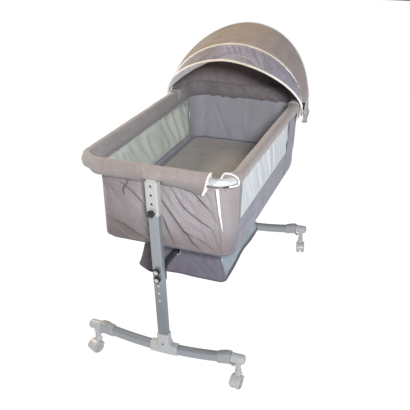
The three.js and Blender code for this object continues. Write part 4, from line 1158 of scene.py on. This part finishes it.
o = make("drop_net_seam", *sweep(hem, rrect(6.0, 1.6, 0.7, 3), up=np.array([0, 1.0, 0])), M_FRONT, "drop_side")

# far end with the fixed right corner
P = wall_grid(plan_rear, Z0, Z1, 5.0, 5.0)
n = outward(P)
x, z = P[..., 0], P[..., 2]
s_col = np.r_[0, np.cumsum(np.linalg.norm(np.diff(P[len(P) // 2, :, :2], axis=0), axis=1))]
ss = np.broadcast_to(s_col[None], z.shape)
q = np.stack([ss + 0.5 * z, z, z * 0], -1)
crease = np.exp(-((x + 0.42 * (z - 700) + 128) / 7.0) ** 2) * smooth(z, 560, 600)
d = (field(q, (1 / 46, 1 / 120, 1), 11.3, 2) * 3.4 + crease * 3.0) * smooth(z, Z0 + 4, Z0 + 50) * smooth(Z1 - z, 0, 50)
d *= smooth(ss, 0, 20)
P4 = curl(tuck(P, n), n, 2.0) + n * d[..., None]
P4[..., 1] = np.where((abs(P4[..., 0]) < 34) & (P4[..., 1] > 400), np.minimum(P4[..., 1], 451.0), P4[..., 1])
V, F, sd = sheet_mesh(P4[:, ::-1], 1.4)
o = make("far_wall", V, F, [M_SIDE, M_INNER], "crib", face_mats=sd)
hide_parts("end_panel_rear")

# left side: cloth frame with a mesh window
P = wall_grid(plan_left, Z0, Z1, 5.0, 6.0)
n = outward(P)
y, z = P[..., 1], P[..., 2]
q = np.stack([y + 0.4 * z, z, z * 0], -1)
d = field(q, (1 / 60, 1 / 70, 1), 14.2, 2) * 2.2 * smooth(z, Z0 + 4, Z0 + 40) * smooth(Z1 - z, 0, 40)
P5 = curl(tuck(P, n), n, 2.0, skip=-1.0) + n * d[..., None]
yc = (y[:-1, :-1] + y[:-1, 1:]) / 2
zc = (z[:-1, :-1] + z[1:, :-1]) / 2
win = (zc > 590) & (zc < 752) & (yc > -340) & (yc < 346 + (zc - 590) * 0.05)
V, F, sd = sheet_mesh(P5[:, ::-1], 1.4, ~win[:, ::-1])
o = make("left_wall", V, F, [M_SIDE, M_INNER], "crib", face_mats=sd)
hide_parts("side_panel_left")
P = np.stack([[(-238.0 - 2.0 * float(smooth(zv, 735, Z1)), yv, zv) for yv in np.linspace(-344, 354, 160)] for zv in np.linspace(586, 754, 30)])
y, z = P[..., 1], P[..., 2]
w = field(np.stack([y + 0.55 * (z - 600), z, z * 0], -1), (1 / 62, 1 / 300, 1), 21.0, 1)
ridge = (1 - np.abs(w) * 3.0)
d = ridge * 7.5 * smooth(z, 586, 620) * smooth(754 - z, 0, 30)
P = P + np.array([1.0, 0, 0]) * d[..., None]
V, F, sd = sheet_mesh(P, 0.7)
o = make("left_net", V, F, M_NET_L, "crib")
hem = np.stack([np.full(90, -237.0), np.linspace(-343, 350, 90), np.full(90, 588.5)], 1)
o = make("left_net_hem", *sweep(hem, rrect(2.4, 6.0, 1.0, 3)), M_SIDE, "crib")

# floor cloth, wire, board
o = make("floor_cloth", *loft([[(px, py, pz) for px, py in rrect(2 * (237 - i), 2 * (412 - i), 50 - i, 8)] for i, pz in ((6, 486.6), (0, 487.6), (0, 489.0), (4, 489.6))]), M_SIDE, "crib", angle=50)
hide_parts("floor_panel")
ring = at_z(resample(np.vstack([rrect(454, 804, 40, 8), rrect(454, 804, 40, 8)[:1]]), step=10)[:-1], 498)
o = make("wire_ring", *sweep(ring, circle(4, 14), closed=True), M_WIRE, "crib")
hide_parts("bottom_ring")
o = make("bed_board", *loft([[(px, py, pz) for px, py in rrect(2 * (222 - i), 2 * (397 - i), 40 - i, 8)] for i, pz in ((0.8, 502.4), (0, 503.2), (0, 507.6), (0.8, 508.4))]), M_BOARD, "crib", angle=40)
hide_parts("mattress_board")

# ------------------------------------------------------------------ mattress
def cushion(inset, z, r=48.0):
    return [(px, py, z) for px, py in rrect(2 * (229 - inset), 2 * (405 - inset), r - inset * 0.5, 10)]


BED_TOP = 574.0


def bed_mesh():
    zs_, ins = [509.4, 510.5, 514, 520, 530, 541, 552, 560, 566, 570], [12, 6, 2.0, 0.6, 0.2, 0.0, 0.2, 0.8, 2.5, 6.5]
    rings = [resample(np.vstack([cushion(i, z), cushion(i, z)[:1]]), n=241)[:-1] for i, z in zip(ins, zs_)]
    V, F = loft(rings)
    F = F[:-2]
    n = 240

    def lid(ring_at, z, flip):
        """Closes a ring with nested rings that shrink to the middle line."""
        nonlocal V, F
        base = V[ring_at * n:(ring_at + 1) * n]
        prev = np.arange(ring_at * n, (ring_at + 1) * n)
        steps = 44
        for k in range(1, steps + 1):
            t = k / steps
            core = base * [1 - t, 1, 1]
            core[:, 0] = base[:, 0] * (1 - t)
            yl = 405 - 229.0
            core[:, 1] = np.clip(base[:, 1], -yl, yl) * t + base[:, 1] * (1 - t)
            zz_ = z(t)
            core[:, 2] = zz_
            idx = np.arange(len(V), len(V) + n)
            V = np.concatenate([V, core])
            for j in range(n):
                q_ = (prev[j], prev[(j + 1) % n], idx[(j + 1) % n], idx[j])
                F.append(tuple(reversed(q_)) if flip else q_)
            prev = idx

    lid(len(zs_) - 1, lambda t: 570 + (BED_TOP - 570) * math.sin(math.pi / 2 * min(1, t * 3.2)), False)
    lid(0, lambda t: 509.4, True)
    return V, F


V, F = bed_mesh()
bed = make("mattress_cushion", V, F, M_BED)
bm = bmesh.new()
bm.from_mesh(bed.data)
bmesh.ops.remove_doubles(bm, verts=bm.verts, dist=0.00002)
bmesh.ops.dissolve_degenerate(bm, edges=bm.edges, dist=0.00002)
bm.to_mesh(bed.data)
bm.free()


def puff(ob, voxel, pressure, cap, frames_=20, pin=None, stiff=12.0):
    """Swells a closed piece as stuffed cloth, moving no point by more than cap millimetres."""
    rm = ob.modifiers.new("remesh", "REMESH")
    rm.mode = "VOXEL"
    rm.voxel_size = voxel * MM
    apply_all(ob)
    rest = np.array([v.co for v in ob.data.vertices])
    c = ob.modifiers.new("cloth", "CLOTH")
    st = c.settings
    st.quality = 4
    st.mass = 0.25
    st.tension_stiffness = st.compression_stiffness = stiff
    st.shear_stiffness = stiff * 0.5
    st.bending_stiffness = 0.3
    st.use_pressure = True
    st.uniform_pressure_force = pressure
    st.effector_weights.gravity = 0.0
    c.collision_settings.use_collision = False
    if pin is not None:
        g = ob.vertex_groups.new(name="pin")
        g.add([int(i) for i in np.nonzero(pin(rest / MM - AT))[0]], 1.0, "REPLACE")
        st.vertex_group_mass = "pin"
    c.point_cache.frame_start = 1
    c.point_cache.frame_end = frames_
    for fr in range(1, frames_ + 1):
        scene.frame_set(fr)
    apply_all(ob)
    scene.frame_set(1)
    now = np.array([v.co for v in ob.data.vertices])
    mv = now - rest
    L = np.linalg.norm(mv, axis=1, keepdims=True)
    now = rest + mv * np.minimum(1.0, cap * MM / np.maximum(L, 1e-9))
    ob.data.vertices.foreach_set("co", now.astype(np.float32).ravel())
    ob.data.polygons.foreach_set("use_smooth", [True] * len(ob.data.polygons))
    ob.data.update()
    return ob


puff(bed, 6.0, 4.0, 5.0, pin=lambda p: p[:, 2] < 512)
co = np.array([v.co for v in bed.data.vertices]) / MM - AT
top_w = smooth(co[:, 2], 560, 572)
wr = field(np.stack([co[:, 0] + 0.5 * co[:, 1], co[:, 1] - 0.4 * co[:, 0], co[:, 2]], 1), (1 / 130, 1 / 70, 1 / 100), 31.0, 2)
co[:, 2] += top_w * (np.clip(1 - abs(wr) * 2.4, -0.6, 1) * 2.2 - 1.4)
rim = np.minimum(229 - abs(co[:, 0]), 405 - abs(co[:, 1]))
co[:, 2] -= top_w * 3.0 * np.exp(-((rim - 12) / 9.0) ** 2)
co[:, 2] = np.minimum(co[:, 2], 582)
bed.data.vertices.foreach_set("co", ((co + AT) * MM).astype(np.float32).ravel())
bed.data.update()
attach(bed, "crib")
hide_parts("mattress")
edge = np.array(cushion(1.2, 568.5))
edge = resample(np.vstack([edge, edge[:1]]), step=5)[:-1]
o = make("mattress_piping", *sweep(edge, circle(1.9, 8), closed=True), M_SIDE, "crib")

# -------------------------------------------------------------------- basket
BZ0, BZ1 = 334.5, 484.0
BX, BY = 17.0, -140.5            # the basket hangs under the foot half, a little to the right


def basket_half(z):
    s = (z - BZ0) / (BZ1 - BZ0)
    return 171 - 33 * s, 205.5 - 34 * s


def ordered(z, n=361):
    """Outline of the basket at a height, about its own middle."""
    hx, hy = basket_half(z)
    r = 20.0
    P = np.concatenate([[[hx, 0]], arc(hx - r, hy - r, r, 0, 90, 8), arc(-hx + r, hy - r, r, 90, 180, 8), arc(-hx + r, -hy + r, r, 180, 270, 8), arc(hx - r, -hy + r, r, 270, 360, 8), [[hx, 0]]])
    return resample(P, n=n)


def slack(P):
    """How the cloth really hangs: a belly between the left corner and the slot, the right edge a little high."""
    P = np.array(P, float) + np.array([BX, BY, 0])
    x_, y_, z_ = P[..., 0], P[..., 1] - BY, P[..., 2]
    low = np.clip(1 - (z_ - BZ0) / 95, 0, 1) ** 1.3
    near_ = smooth(-y_, 60, 200)
    P[..., 2] += low * near_ * (4 * np.exp(-((x_ + 150) / 18) ** 2) - 17 * np.exp(-((x_ + 98) / 30) ** 2) + 3 * np.exp(-((x_ - 20) / 40) ** 2))
    P[..., 2] += low * 15 * np.exp(-((y_ + 5) / 70) ** 2) * smooth(x_, 90, 175)
    return P


zs = np.linspace(BZ0, BZ1, 44)
P = np.stack([at_z(ordered(z), z) for z in zs])
x, y, z = P[..., 0], P[..., 1], P[..., 2]
hx = np.interp(z, [BZ0, BZ1], [171, 138])
hy = np.interp(z, [BZ0, BZ1], [205.5, 171.5])
n = outward(P)
cen = unit(np.stack([x / hx, y / hy, z * 0], -1))
n = n * np.where(np.sum(n * cen, -1, keepdims=True) > 0, 1, -1)
endw = smooth(abs(y) / hy, 0.86, 0.97)
sidew = 1 - endw
BFOLDS = [
    ([(20, 478), (60, 440), (105, 395), (150, 352)], 7.0, 8.0),
    ([(34, 420), (70, 392), (120, 350)], 5.0, 7.0),
    ([(70, 478), (110, 450), (146, 400)], 4.0, 8.0),
    ([(-40, 470), (-90, 420), (-120, 370)], 4.5, 9.0),
    ([(-60, 400), (-100, 366), (-140, 352)], 3.5, 7.0),
]
fold = (creased(x + BX, z, BFOLDS, 10.0) + field(np.stack([x + 0.7 * (z - 400), z, y * 0.01], -1), (1 / 42, 1 / 120, 1), 41.0, 2) * 3.0) * endw
fold_s = field(np.stack([y + 0.5 * z, z, x * 0.01], -1), (1 / 60, 1 / 130, 1), 44.0, 2) * 7.0 * sidew
mid = np.sin(np.pi * (z - BZ0) / (BZ1 - BZ0))
sag_in = -6.0 * sidew * mid * (1 - (y / hy) ** 2)
d = (fold + fold_s) * mid ** 0.7 + sag_in
C = P + n * d[..., None]
jx = (x[:-1, :-1] + x[:-1, 1:]) / 2
jy = (y[:-1, :-1] + y[:-1, 1:]) / 2
jz = (z[:-1, :-1] + z[1:, :-1]) / 2
jhx = np.interp(jz, [BZ0, BZ1], [171, 138])
slot_m = (abs(jx + BX) < 13.5) & (jz > 408)
low_left = (jx < -jhx + 20) & (abs(jy) < 127) & (jz > 432 + 46 * smooth(abs(jy), 92, 127))
right_net = (jx > jhx - 4) & (abs(jy) < 180) & (jz > 344) & (jz < 474)
V, F, sd = sheet_mesh(slack(C)[:, ::-1], 1.3, ~(slot_m | low_left | right_net)[:, ::-1])
o = make("basket_walls", V, F, M_BASKET, "crib")
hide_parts("basket")
V, F, sd = sheet_mesh(slack(C - n * 0.2)[:, ::-1], 0.6, (right_net)[:, ::-1])
o = make("basket_net", V, F, M_NET_B, "crib")
# bottom, with a slight slack
g = np.array([[(hx_, hy_, 0) for hx_ in np.linspace(-168, 168, 40)] for hy_ in np.linspace(-202.5, 202.5, 48)])
gx, gy = g[..., 0] / 168, g[..., 1] / 202.5
edge_w = np.clip(1 - np.maximum(abs(gx) ** 6, abs(gy) ** 8), 0, 1)
wr = field(np.stack([g[..., 0] + 0.6 * g[..., 1], g[..., 1], gx * 0], -1), (1 / 80, 1 / 60, 1), 51.0, 2)
g[..., 2] = 335.6 + edge_w * wr * 1.6
hxr, rr_ = 168.0, 20.0
dx = np.clip(abs(g[..., 0]) - (hxr - rr_), 0, None)
dy = np.clip(abs(g[..., 1]) - (202.5 - rr_), 0, None)
dl = np.hypot(dx, dy)
k = np.where((dl > rr_) & (dx > 0) & (dy > 0), rr_ / np.maximum(dl, 1e-6), 1.0)
g[..., 0] = np.sign(g[..., 0]) * (np.minimum(abs(g[..., 0]), hxr - rr_) + dx * k)
g[..., 1] = np.sign(g[..., 1]) * (np.minimum(abs(g[..., 1]), 202.5 - rr_) + dy * k)
V, F, sd = sheet_mesh(slack(g), 1.3)
o = make("basket_floor", V, F, M_BASKET, "crib")


def ring_at(z, off=0.8):
    q_ = ordered(z, 241)[:-1]
    c_ = unit(q_ / np.array(basket_half(z)))
    return slack(at_z(q_ + c_ * off, z))


o = make("basket_piping", *sweep(ring_at(BZ0 + 1.5), circle(2.2, 8), closed=True), M_DARKPIPE, "crib")
for k, (sx, sy) in enumerate(((1, -1), (1, 1), (-1, 1), (-1, -1))):
    pts = []
    for z_ in np.linspace(BZ0 + 2, BZ1 - 2, 30):
        hx_, hy_ = basket_half(z_)
        pts.append((sx * (hx_ - 20 + 20 * 0.7071 + 0.6), sy * (hy_ - 20 + 20 * 0.7071 + 0.6), z_))
    o = make(f"basket_corner_{k}", *sweep(slack(pts), circle(1.3, 8), up=np.array([1.0, 0, 0])), M_DARKPIPE, "crib")


def on_basket(z_, axis, value, sign):
    """A point of the hanging cloth at a height, on the wall that faces the given way."""
    i_ = int(round((z_ - BZ0) / (BZ1 - BZ0) * (len(zs) - 1)))
    col = int(np.argmin(abs(C[i_, :, axis] - value) + 1000 * (C[i_, :, 1 - axis] * sign < 60)))
    return C[i_, col]


for k, sy in enumerate((-1, 1)):
    path = []
    for xx, z_ in [(-13.5, 483)] + [(-13.5, zq) for zq in np.linspace(470, 414, 8)] + [(-12, 409.5), (-8, 408), (8, 408), (12, 409.5)] + [(13.5, zq) for zq in np.linspace(414, 470, 8)] + [(13.5, 483)]:
        path.append((xx - BX, on_basket(z_, 0, xx - BX, sy)[1], z_))
    o = make(f"basket_slot_binding_{k}", *sweep(resample(slack(path), step=4), rrect(2.4, 3.6, 1.0, 3), up=np.array([0, 1.0, 0])), M_PALE_CLOTH, "crib")
lo_edge = []
for y_ in np.linspace(-126, 126, 60):
    z_ = 432 + 46 * float(smooth(abs(y_), 92, 127))
    lo_edge.append((on_basket(z_, 1, y_, -1)[0], y_, z_))
lo_edge = np.array(lo_edge)
lo_edge[:, 0] = np.convolve(np.pad(lo_edge[:, 0], 3, "edge"), np.ones(7) / 7, "valid")
o = make("basket_access_binding", *sweep(slack(lo_edge), rrect(3.0, 5.0, 1.2, 3)), M_DARKPIPE, "crib")

# ---------------------------------------------------------------------- hood
BOWS = {"front": (295.5, 227, 114.8, 1.74, 5.0), "mid": (288, 242, 80.8, 1.92, 2.5), "rear": (304.5, 374, 50.8, 1.95, 3.0)}
LEG = 20.0


def bow_point(b, t, off=0.0):
    w, r, th, p, _ = BOWS[b]
    t = np.asarray(t, float)
    c, s = np.cos(np.pi * t), np.maximum(np.sin(np.pi * t), 0)
    x_ = w * np.sign(c) * abs(c) ** (2 / p)
    h = LEG + (r - LEG) * s ** (2 / p)
    th = rad(th)
    return np.stack([x_, PIVOT_Y + h * math.cos(th) + off * math.sin(th), PIVOT_Z + h * math.sin(th) - off * math.cos(th)], -1)


def bow_path(b, tail, n=110):
    w, r, th, p, _ = BOWS[b]
    th_ = rad(th)
    legs = lambda sx: [(sx * w, PIVOT_Y + h * math.cos(th_), PIVOT_Z + h * math.sin(th_)) for h in np.linspace(-tail, LEG - 2, 12)]
    A = legs(1) + bow_point(b, np.linspace(0.004, 0.996, n)).tolist() + legs(-1)[::-1]
    return resample(A, step=4.0)


def bow_up(b):
    th = rad(BOWS[b][2])
    return np.array([0, math.sin(th), -math.cos(th)])


for b, tail, body, mat, r in (("front", 46, "hood_front", M_PIPING, 4.5), ("mid", 36, "hood_middle", M_PIPING, 3.0), ("rear", -8, "crib", M_TUBE, 3.0)):
    pts = bow_path(b, tail)
    S = np.repeat(circle(r, 14)[None], len(pts), 0)
    if b != "rear":
        h = np.hypot(pts[:, 1] - PIVOT_Y, pts[:, 2] - PIVOT_Z)
        below = (pts[:, 2] < PIVOT_Z + 26)[:, None, None]
        k = smooth(PIVOT_Z + 26 - pts[:, 2], 0, 10)[:, None, None]
        S = S * (1 - k) + np.stack([S[..., 0] * (1.0 if b == "front" else 1.1) * 0.42, S[..., 1] * 1.05], -1) * k if b == "front" else S * (1 - k * 0.15)
    o = make(f"bow_{b}", *sweep(pts, S, up=bow_up(b)), mat, body, angle=60)
    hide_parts(f"hood_bow_{b}")

# clips over the side rails and the hood's pivot pins
for sx in (1, -1):
    outer = np.concatenate([[(-21.3, 746.5), (-21.3, 800)], arc(-9.3, 804, 12, 180, 90, 6), arc(8.1, 804, 12, 90, 0, 6), [(20.1, 800), (20.1, 746.5)]])
    inner = np.concatenate([[(17.9, 746.5), (17.9, 798)], arc(8.3, 803, 9.6, 0, 90, 6), arc(-9.3, 803, 9.4, 90, 180, 6), [(-18.7, 798), (-18.7, 783), (-21.0, 782.2)]])
    prof = np.concatenate([[(-21.3, 782), (-21.3, 800)], arc(-9.3, 804, 12, 180, 90, 6), arc(8.1, 804, 12, 90, 0, 6), [(20.1, 800), (20.1, 748), (19.0, 746.3), (18.3, 747.5), (17.9, 760), (17.9, 798)], arc(8.3, 803, 9.6, 0, 90, 6), arc(-9.3, 803, 9.4, 90, 180, 6), [(-18.7, 798), (-18.7, 784), (-19.6, 781.4)]])
    rings = []
    for y_, sc in ((-19.6, 0.0), (-20, 0.0), (20, 0.0), (19.6, 0.0)):
        pass
    prof3 = [[(sx * (RAIL_HX + px), PIVOT_Y + y_, pz) for px, pz in prof] for y_ in (-20, 20)]
    n_ = len(prof)
    V = np.array(prof3).reshape(-1, 3)
    F = [(j, (j + 1) % n_, n_ + (j + 1) % n_, n_ + j) for j in range(n_)]
    bm = bmesh.new()
    F += [tuple(range(n_ - 1, -1, -1)), tuple(range(n_, 2 * n_))]
    nm = "right" if sx > 0 else "left"
    o = make(f"clip_{nm}", V, F, M_WHITE, None, angle=35)
    bm.free()
    bevel(o, 0.9, 2, 50)
    apply_all(o)
    o.data.polygons.foreach_set("use_smooth", [True] * len(o.data.polygons))
    o.data.set_sharp_from_angle(angle=rad(35))
    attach(o, "crib")
    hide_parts(f"hood_clip_{nm}")
    pin = lathe([(0, 281), (4, 281), (4, 309), (7, 309.2), (7, 312.6), (6.2, 313.6), (4.5, 314), (0, 314)], 28, "x")
    V = pin[0] * [sx, 1, 1] + [0, PIVOT_Y, PIVOT_Z]
    o = make(f"pivot_pin_{nm}", V, pin[1], M_WHITE, "crib", angle=40)
    for b, body in (("front", "hood_front"), ("mid", "hood_middle"), ("rear", "crib")):
        w = BOWS[b][0]
        e = 2.3
        eye_ = lathe([(4.3, w - e), (8.6, w - e), (9.6, w - e * 0.5), (9.6, w + e * 0.5), (8.6, w + e), (4.3, w + e)], 28, "x")
        vv, ff = eye_
        # open ring: join the inner wall
        ring_sec = np.array([(4.4, -e), (8.8, -e), (9.6, -e * 0.5), (9.6, e * 0.5), (8.8, e), (4.4, e)])
        a_ = np.linspace(0, 2 * np.pi, 29)[:-1]
        V = np.stack([np.broadcast_to(sx * (w + ring_sec[None, :, 1]), (28, 6)), PIVOT_Y + ring_sec[None, :, 0] * np.cos(a_)[:, None], PIVOT_Z + ring_sec[None, :, 0] * np.sin(a_)[:, None]], -1)
        o = make(f"bow_eye_{b}_{nm}", V.reshape(-1, 3), grid(28, 6, cu=True, cv=True), M_WHITE if b != "rear" else M_GREY, body, angle=40)


def between(a, b, off_a, off_b, rows, cols, bulge, t0=0.02):
    s = np.linspace(0, 1, rows)[:, None, None]
    t = np.linspace(t0, 1 - t0, cols)
    A, B = bow_point(a, t, off_a)[None], bow_point(b, t, off_b)[None]
    Q = A * (1 - s) + B * s
    m = Q - np.array([0, PIVOT_Y, PIVOT_Z])
    m[..., 0] *= 0.55
    nn_ = unit(m)
    return Q + nn_ * (bulge * np.sin(np.pi * s[..., 0]) * np.sin(np.pi * t)[None])[..., None], nn_, s[..., 0] + 0 * t[None], 0 * s[..., 0] + t[None]


# visor: gathered cloth between the front and middle bows, with an elastic seam along it
Q, nn_, S_, T_ = between("front", "mid", 0.0, 0.0, 26, 260, -4.0)
L = T_ * 900
gat = field(np.stack([L + 110 * S_ * np.sign(T_ - 0.55), S_ * 60, S_ * 0], -1), (1 / 24, 1 / 80, 1), 61.0, 2)
gat = 1 - 2.6 * abs(gat)
long_f = field(np.stack([L - 160 * S_, S_ * 90, S_ * 0], -1), (1 / 120, 1 / 24, 1), 64.0, 2)
lobe = np.clip(np.sin(np.pi * np.clip((T_ - 0.33) / 0.25, 0, 1)), 0, 1) ** 0.7
seam = 0.02 + 0.46 * lobe
at_seam = np.exp(-((S_ - seam) / 0.045) ** 2) * smooth(lobe, 0.02, 0.3)
body_w = smooth(S_, 0, 0.12) * smooth(1 - S_, 0, 0.14)
above = smooth(S_ - seam, 0.0, 0.10)
puffy = above * np.sin(np.pi * np.clip((S_ - seam) / (1 - seam), 0, 1)) * 7.0 - (1 - above) * 4.0
pocket = np.exp(-(((T_ - 0.295) / 0.022) ** 2 + ((S_ - 0.38) / 0.16) ** 2)) * 8.0
calm = smooth(T_, 0.03, 0.15) * (0.12 + 0.88 * smooth(1 - T_, 0.22, 0.42)) * smooth(1 - T_, 0.03, 0.12)
d = calm * body_w * (gat * (2.4 + 3.6 * above) + long_f * 4.5 + puffy - pocket) - at_seam * 3.5 + 1.2 * smooth(1 - T_, 0.1, 0.4)
Q = Q + nn_ * d[..., None]
V, F, sd = sheet_mesh(Q, 1.6)
c_ = np.median(np.sum(normals(Q) * nn_, -1))
if c_ < 0:
    V, F, sd = sheet_mesh(Q[:, ::-1], 1.6)
# the visor's inside takes the pale cloth: painted light on the inside of the same grey cloth
vis = make("visor_cloth", V, F, [M_VISOR, M_PALE_CLOTH], None, face_mats=sd)
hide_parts("hood_visor")
# the elastic seam, where the visor can be drawn in
tt_ = np.linspace(0.345, 0.572, 70)
ls_ = 0.02 + 0.46 * np.clip(np.sin(np.pi * (tt_ - 0.33) / 0.25), 0, 1) ** 0.7
col_ = (tt_ - 0.02) / 0.96 * 259
pts = np.array([Q[int(round(r_ * 25)), int(round(c_))] + nn_[int(round(r_ * 25)), int(round(c_))] * 2.2 for r_, c_ in zip(ls_, col_)])
for _ in range(3):
    pts[1:-1] = (pts[:-2] + pts[1:-1] * 2 + pts[2:]) / 4
seam_o = make("visor_elastic", *sweep(resample(pts, step=3), circle(1.3, 8)), M_VISOR_EDGE, None)
# facing turned in along the left of the front bow; its pale colour is painted light, the lit inside of the visor's grey
# cloth
ts = np.linspace(0.575, 0.945, 70)
u_ = (ts - ts[0]) / (ts[-1] - ts[0])
A_ = bow_point("front", ts, 1.0)
ends_ = bow_point("front", np.array([ts[0], ts[-1]]), 1.0)
chord = ends_[0][None] * (1 - u_[:, None]) + ends_[1][None] * u_[:, None] + np.array([0, 1.0, 0.2]) * (14 * np.sin(np.pi * u_))[:, None]
rows_ = np.linspace(0, 1, 10)[:, None, None]
face = A_[None] * (1 - rows_) + (A_ * 0.25 + chord * 0.75)[None] * rows_
wv = field(np.stack([u_[None] * 220 + rows_[..., 0] * 20, rows_[..., 0] * 30 + u_[None] * 0, u_[None] * 0 + rows_[..., 0] * 0], -1), (1 / 26, 1 / 60, 1), 66.0, 2)
face[..., 1] += wv * 3.0 * np.sin(np.pi * u_)[None] * rows_[..., 0]
V, F, sd = sheet_mesh(face, 1.0)
o = make("visor_facing", V, F, M_PALE_CLOTH, "hood_front")
VIS = Q

# dome: the large smooth panel between the middle and rear bows
Q, nn_, S_, T_ = between("mid", "rear", 0.0, -3.6, 56, 200, 3.0)
L = T_ * 1000
d = field(np.stack([L * 0.6, S_ * 260, S_ * 0], -1), (1 / 130, 1 / 90, 1), 71.0, 2) * 3.4
d += (1 - abs(field(np.stack([L - 260 * S_, S_ * 120 + L * 0.15, S_ * 0], -1), (1 / 150, 1 / 34, 1), 73.0, 1)) * 2.6) * 2.6
near_mid = np.exp(-(S_ / 0.10) ** 2)
d += near_mid * field(np.stack([L, S_ * 30, S_ * 0], -1), (1 / 14, 1 / 30, 1), 75.0, 2) * 1.3
d = d * smooth(S_, 0, 0.08) * smooth(1 - S_, 0, 0.06) + 3.2 * (1 - S_)
Q = Q + nn_ * d[..., None]
flip = np.median(np.sum(normals(Q) * nn_, -1)) < 0
V, F, sd = sheet_mesh(Q[:, ::-1] if flip else Q, 1.6)
dome = make("dome_cloth", V, F, [M_HOOD, M_HOOD_IN], None, face_mats=sd)
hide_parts("hood_dome")
DOME = Q

# piping along the middle bow, outside both cloths
q_ = bow_point("mid", np.linspace(0.11, 0.89, 200), -1.5)
q_ = q_ + unit(q_ - [0, PIVOT_Y, PIVOT_Z]) * 3.6
o = make("mid_piping", *sweep(resample(q_, step=4), circle(2.9, 10), up=bow_up("mid")), M_PIPING, "hood_middle")

# back: from the rear bow down outside the rail to its hem
hs = [(292, 322), (292, 357), (292, 400)]
hem_half = np.concatenate([hs[:2], arc(198, 400, 94, 0, 90, 12), [[130, 494], [65, 494]]])
hem = np.concatenate([hem_half, [[0, 494]], hem_half[::-1] * [-1, 1]])
cols = 190
hem = resample(hem, n=cols)
t = np.linspace(0.03, 0.97, cols)
low_z = 768 - (768 - np.interp(hem[:, 1], [312, 355, 400], [722, 706, 692])) * smooth(abs(hem[:, 0]), 66, 150)
A = bow_point("rear", t, 4.6)
Bm = at_z(hem, 0)
Bm[:, 2] = 772
rows = 44
s = np.linspace(0, 1, rows)[:, None, None]
down = np.clip(s / 0.78, 0, 1)
Q = A[None] * (1 - down) + Bm[None] * down
Q[..., 2] -= (np.clip((s - 0.78) / 0.22, 0, 1))[..., 0] * (772 - low_z)[None]
m = Q - np.array([0, 330.0, 840.0])
m[..., 2] *= 0.4
nn_ = unit(m)
S_ = s[..., 0] + 0 * t[None]
T_ = t[None] + 0 * S_
d = field(np.stack([T_ * 900 + 60 * S_, S_ * 250, S_ * 0], -1), (1 / 60, 1 / 200, 1), 81.0, 2) * 4.0
d += field(np.stack([T_ * 900, S_ * 250, S_ * 0], -1), (1 / 17, 1 / 110, 1), 83.0, 2) * 1.6 * smooth(S_, 0.5, 1)
slantw = field(np.stack([T_ * 900 + 170 * S_, S_ * 120, S_ * 0], -1), (1 / 28, 1 / 90, 1), 85.0, 2)
d += (1 - 2.4 * abs(slantw)) * 5.2 * np.sin(np.pi * np.clip(S_ * 1.15, 0, 1))
d = d * smooth(S_, 0, 0.15) * (1 - 0.5 * smooth(S_, 0.9, 1)) + 3.0 * np.sin(np.pi * S_)
d = np.clip(d, -6.0, 9.0)
d += 9.0 * np.exp(-((Q[..., 0] - 290) / 40) ** 2 - ((Q[..., 1] - 440) / 34) ** 2 - ((Q[..., 2] - 728) / 17) ** 2)
Q = Q + nn_ * d[..., None]
flip = np.median(np.sum(normals(Q) * nn_, -1)) < 0
V, F, sd = sheet_mesh(Q[:, ::-1] if flip else Q, 1.6)
o = make("back_cloth", V, F, [M_HOOD, M_HOOD_IN], "crib", face_mats=sd)
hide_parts("hood_back")
o = make("back_hem", *sweep(resample(Q[-1], step=5), circle(1.7, 8)), M_HOOD, "crib")
o = make("rear_bow_seam", *sweep(resample(bow_point("rear", np.linspace(0.03, 0.97, 160), 1.0) + unit(bow_point("rear", np.linspace(0.03, 0.97, 160), 1.0) - [0, PIVOT_Y, PIVOT_Z]) * 2.6, step=5), circle(2.0, 8), up=bow_up("rear")), M_HOOD, "crib")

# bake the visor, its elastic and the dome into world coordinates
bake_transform(vis)
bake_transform(seam_o)
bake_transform(dome)

# --------------------------------------------------------------------- trims
# zip tape on the near wall's right edge
pts = []
for z_ in np.linspace(751, 592, 60):
    p_, n_ = corner_point(z_, float(zip_x(z_)))
    pts.append(p_ + n_ * 2.0)
pts = np.array(pts)
wd = np.interp(pts[:, 2], [592, 604, 650, 751], [0.8, 3.4, 7.5, 11.0])
S = np.stack([rrect(w_, 1.4, 0.5, 3) for w_ in wd])
tt, n_, b_ = frames(pts, up=np.array([0, 1.0, 0]))
o = make("zip_tape", *sweep(pts, S, up=np.array([0, 1.0, 0])), M_PIPING, None)
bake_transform(o)

gap = []
for z_ in np.linspace(750, 598, 50):
    p_, n_ = corner_point(z_, float(zip_x(z_)) - float(np.interp(z_, [598, 650, 750], [1.0, 4.2, 6.6])))
    gap.append(p_ + n_ * 1.2)
S = np.stack([rrect(w_, 1.2, 0.4, 3) for w_ in np.interp(np.array(gap)[:, 2], [598, 650, 750], [0.6, 1.8, 3.4])])
o = make("zip_teeth", *sweep(gap, S, up=np.array([0, 1.0, 0])), M_DARKPIPE, None)
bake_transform(o)
strap = resample(np.array([(-101, -446, 737), (-106, -450, 724), (-115, -452, 714), (-118, -451, 702), (-118, -449, 687)], float), step=2.5)
o = make("rail_strap", *sweep(strap, rrect(4.6, 1.4, 0.5, 3), up=np.array([0, 1.0, 0])), M_DARKPIPE, "crib")
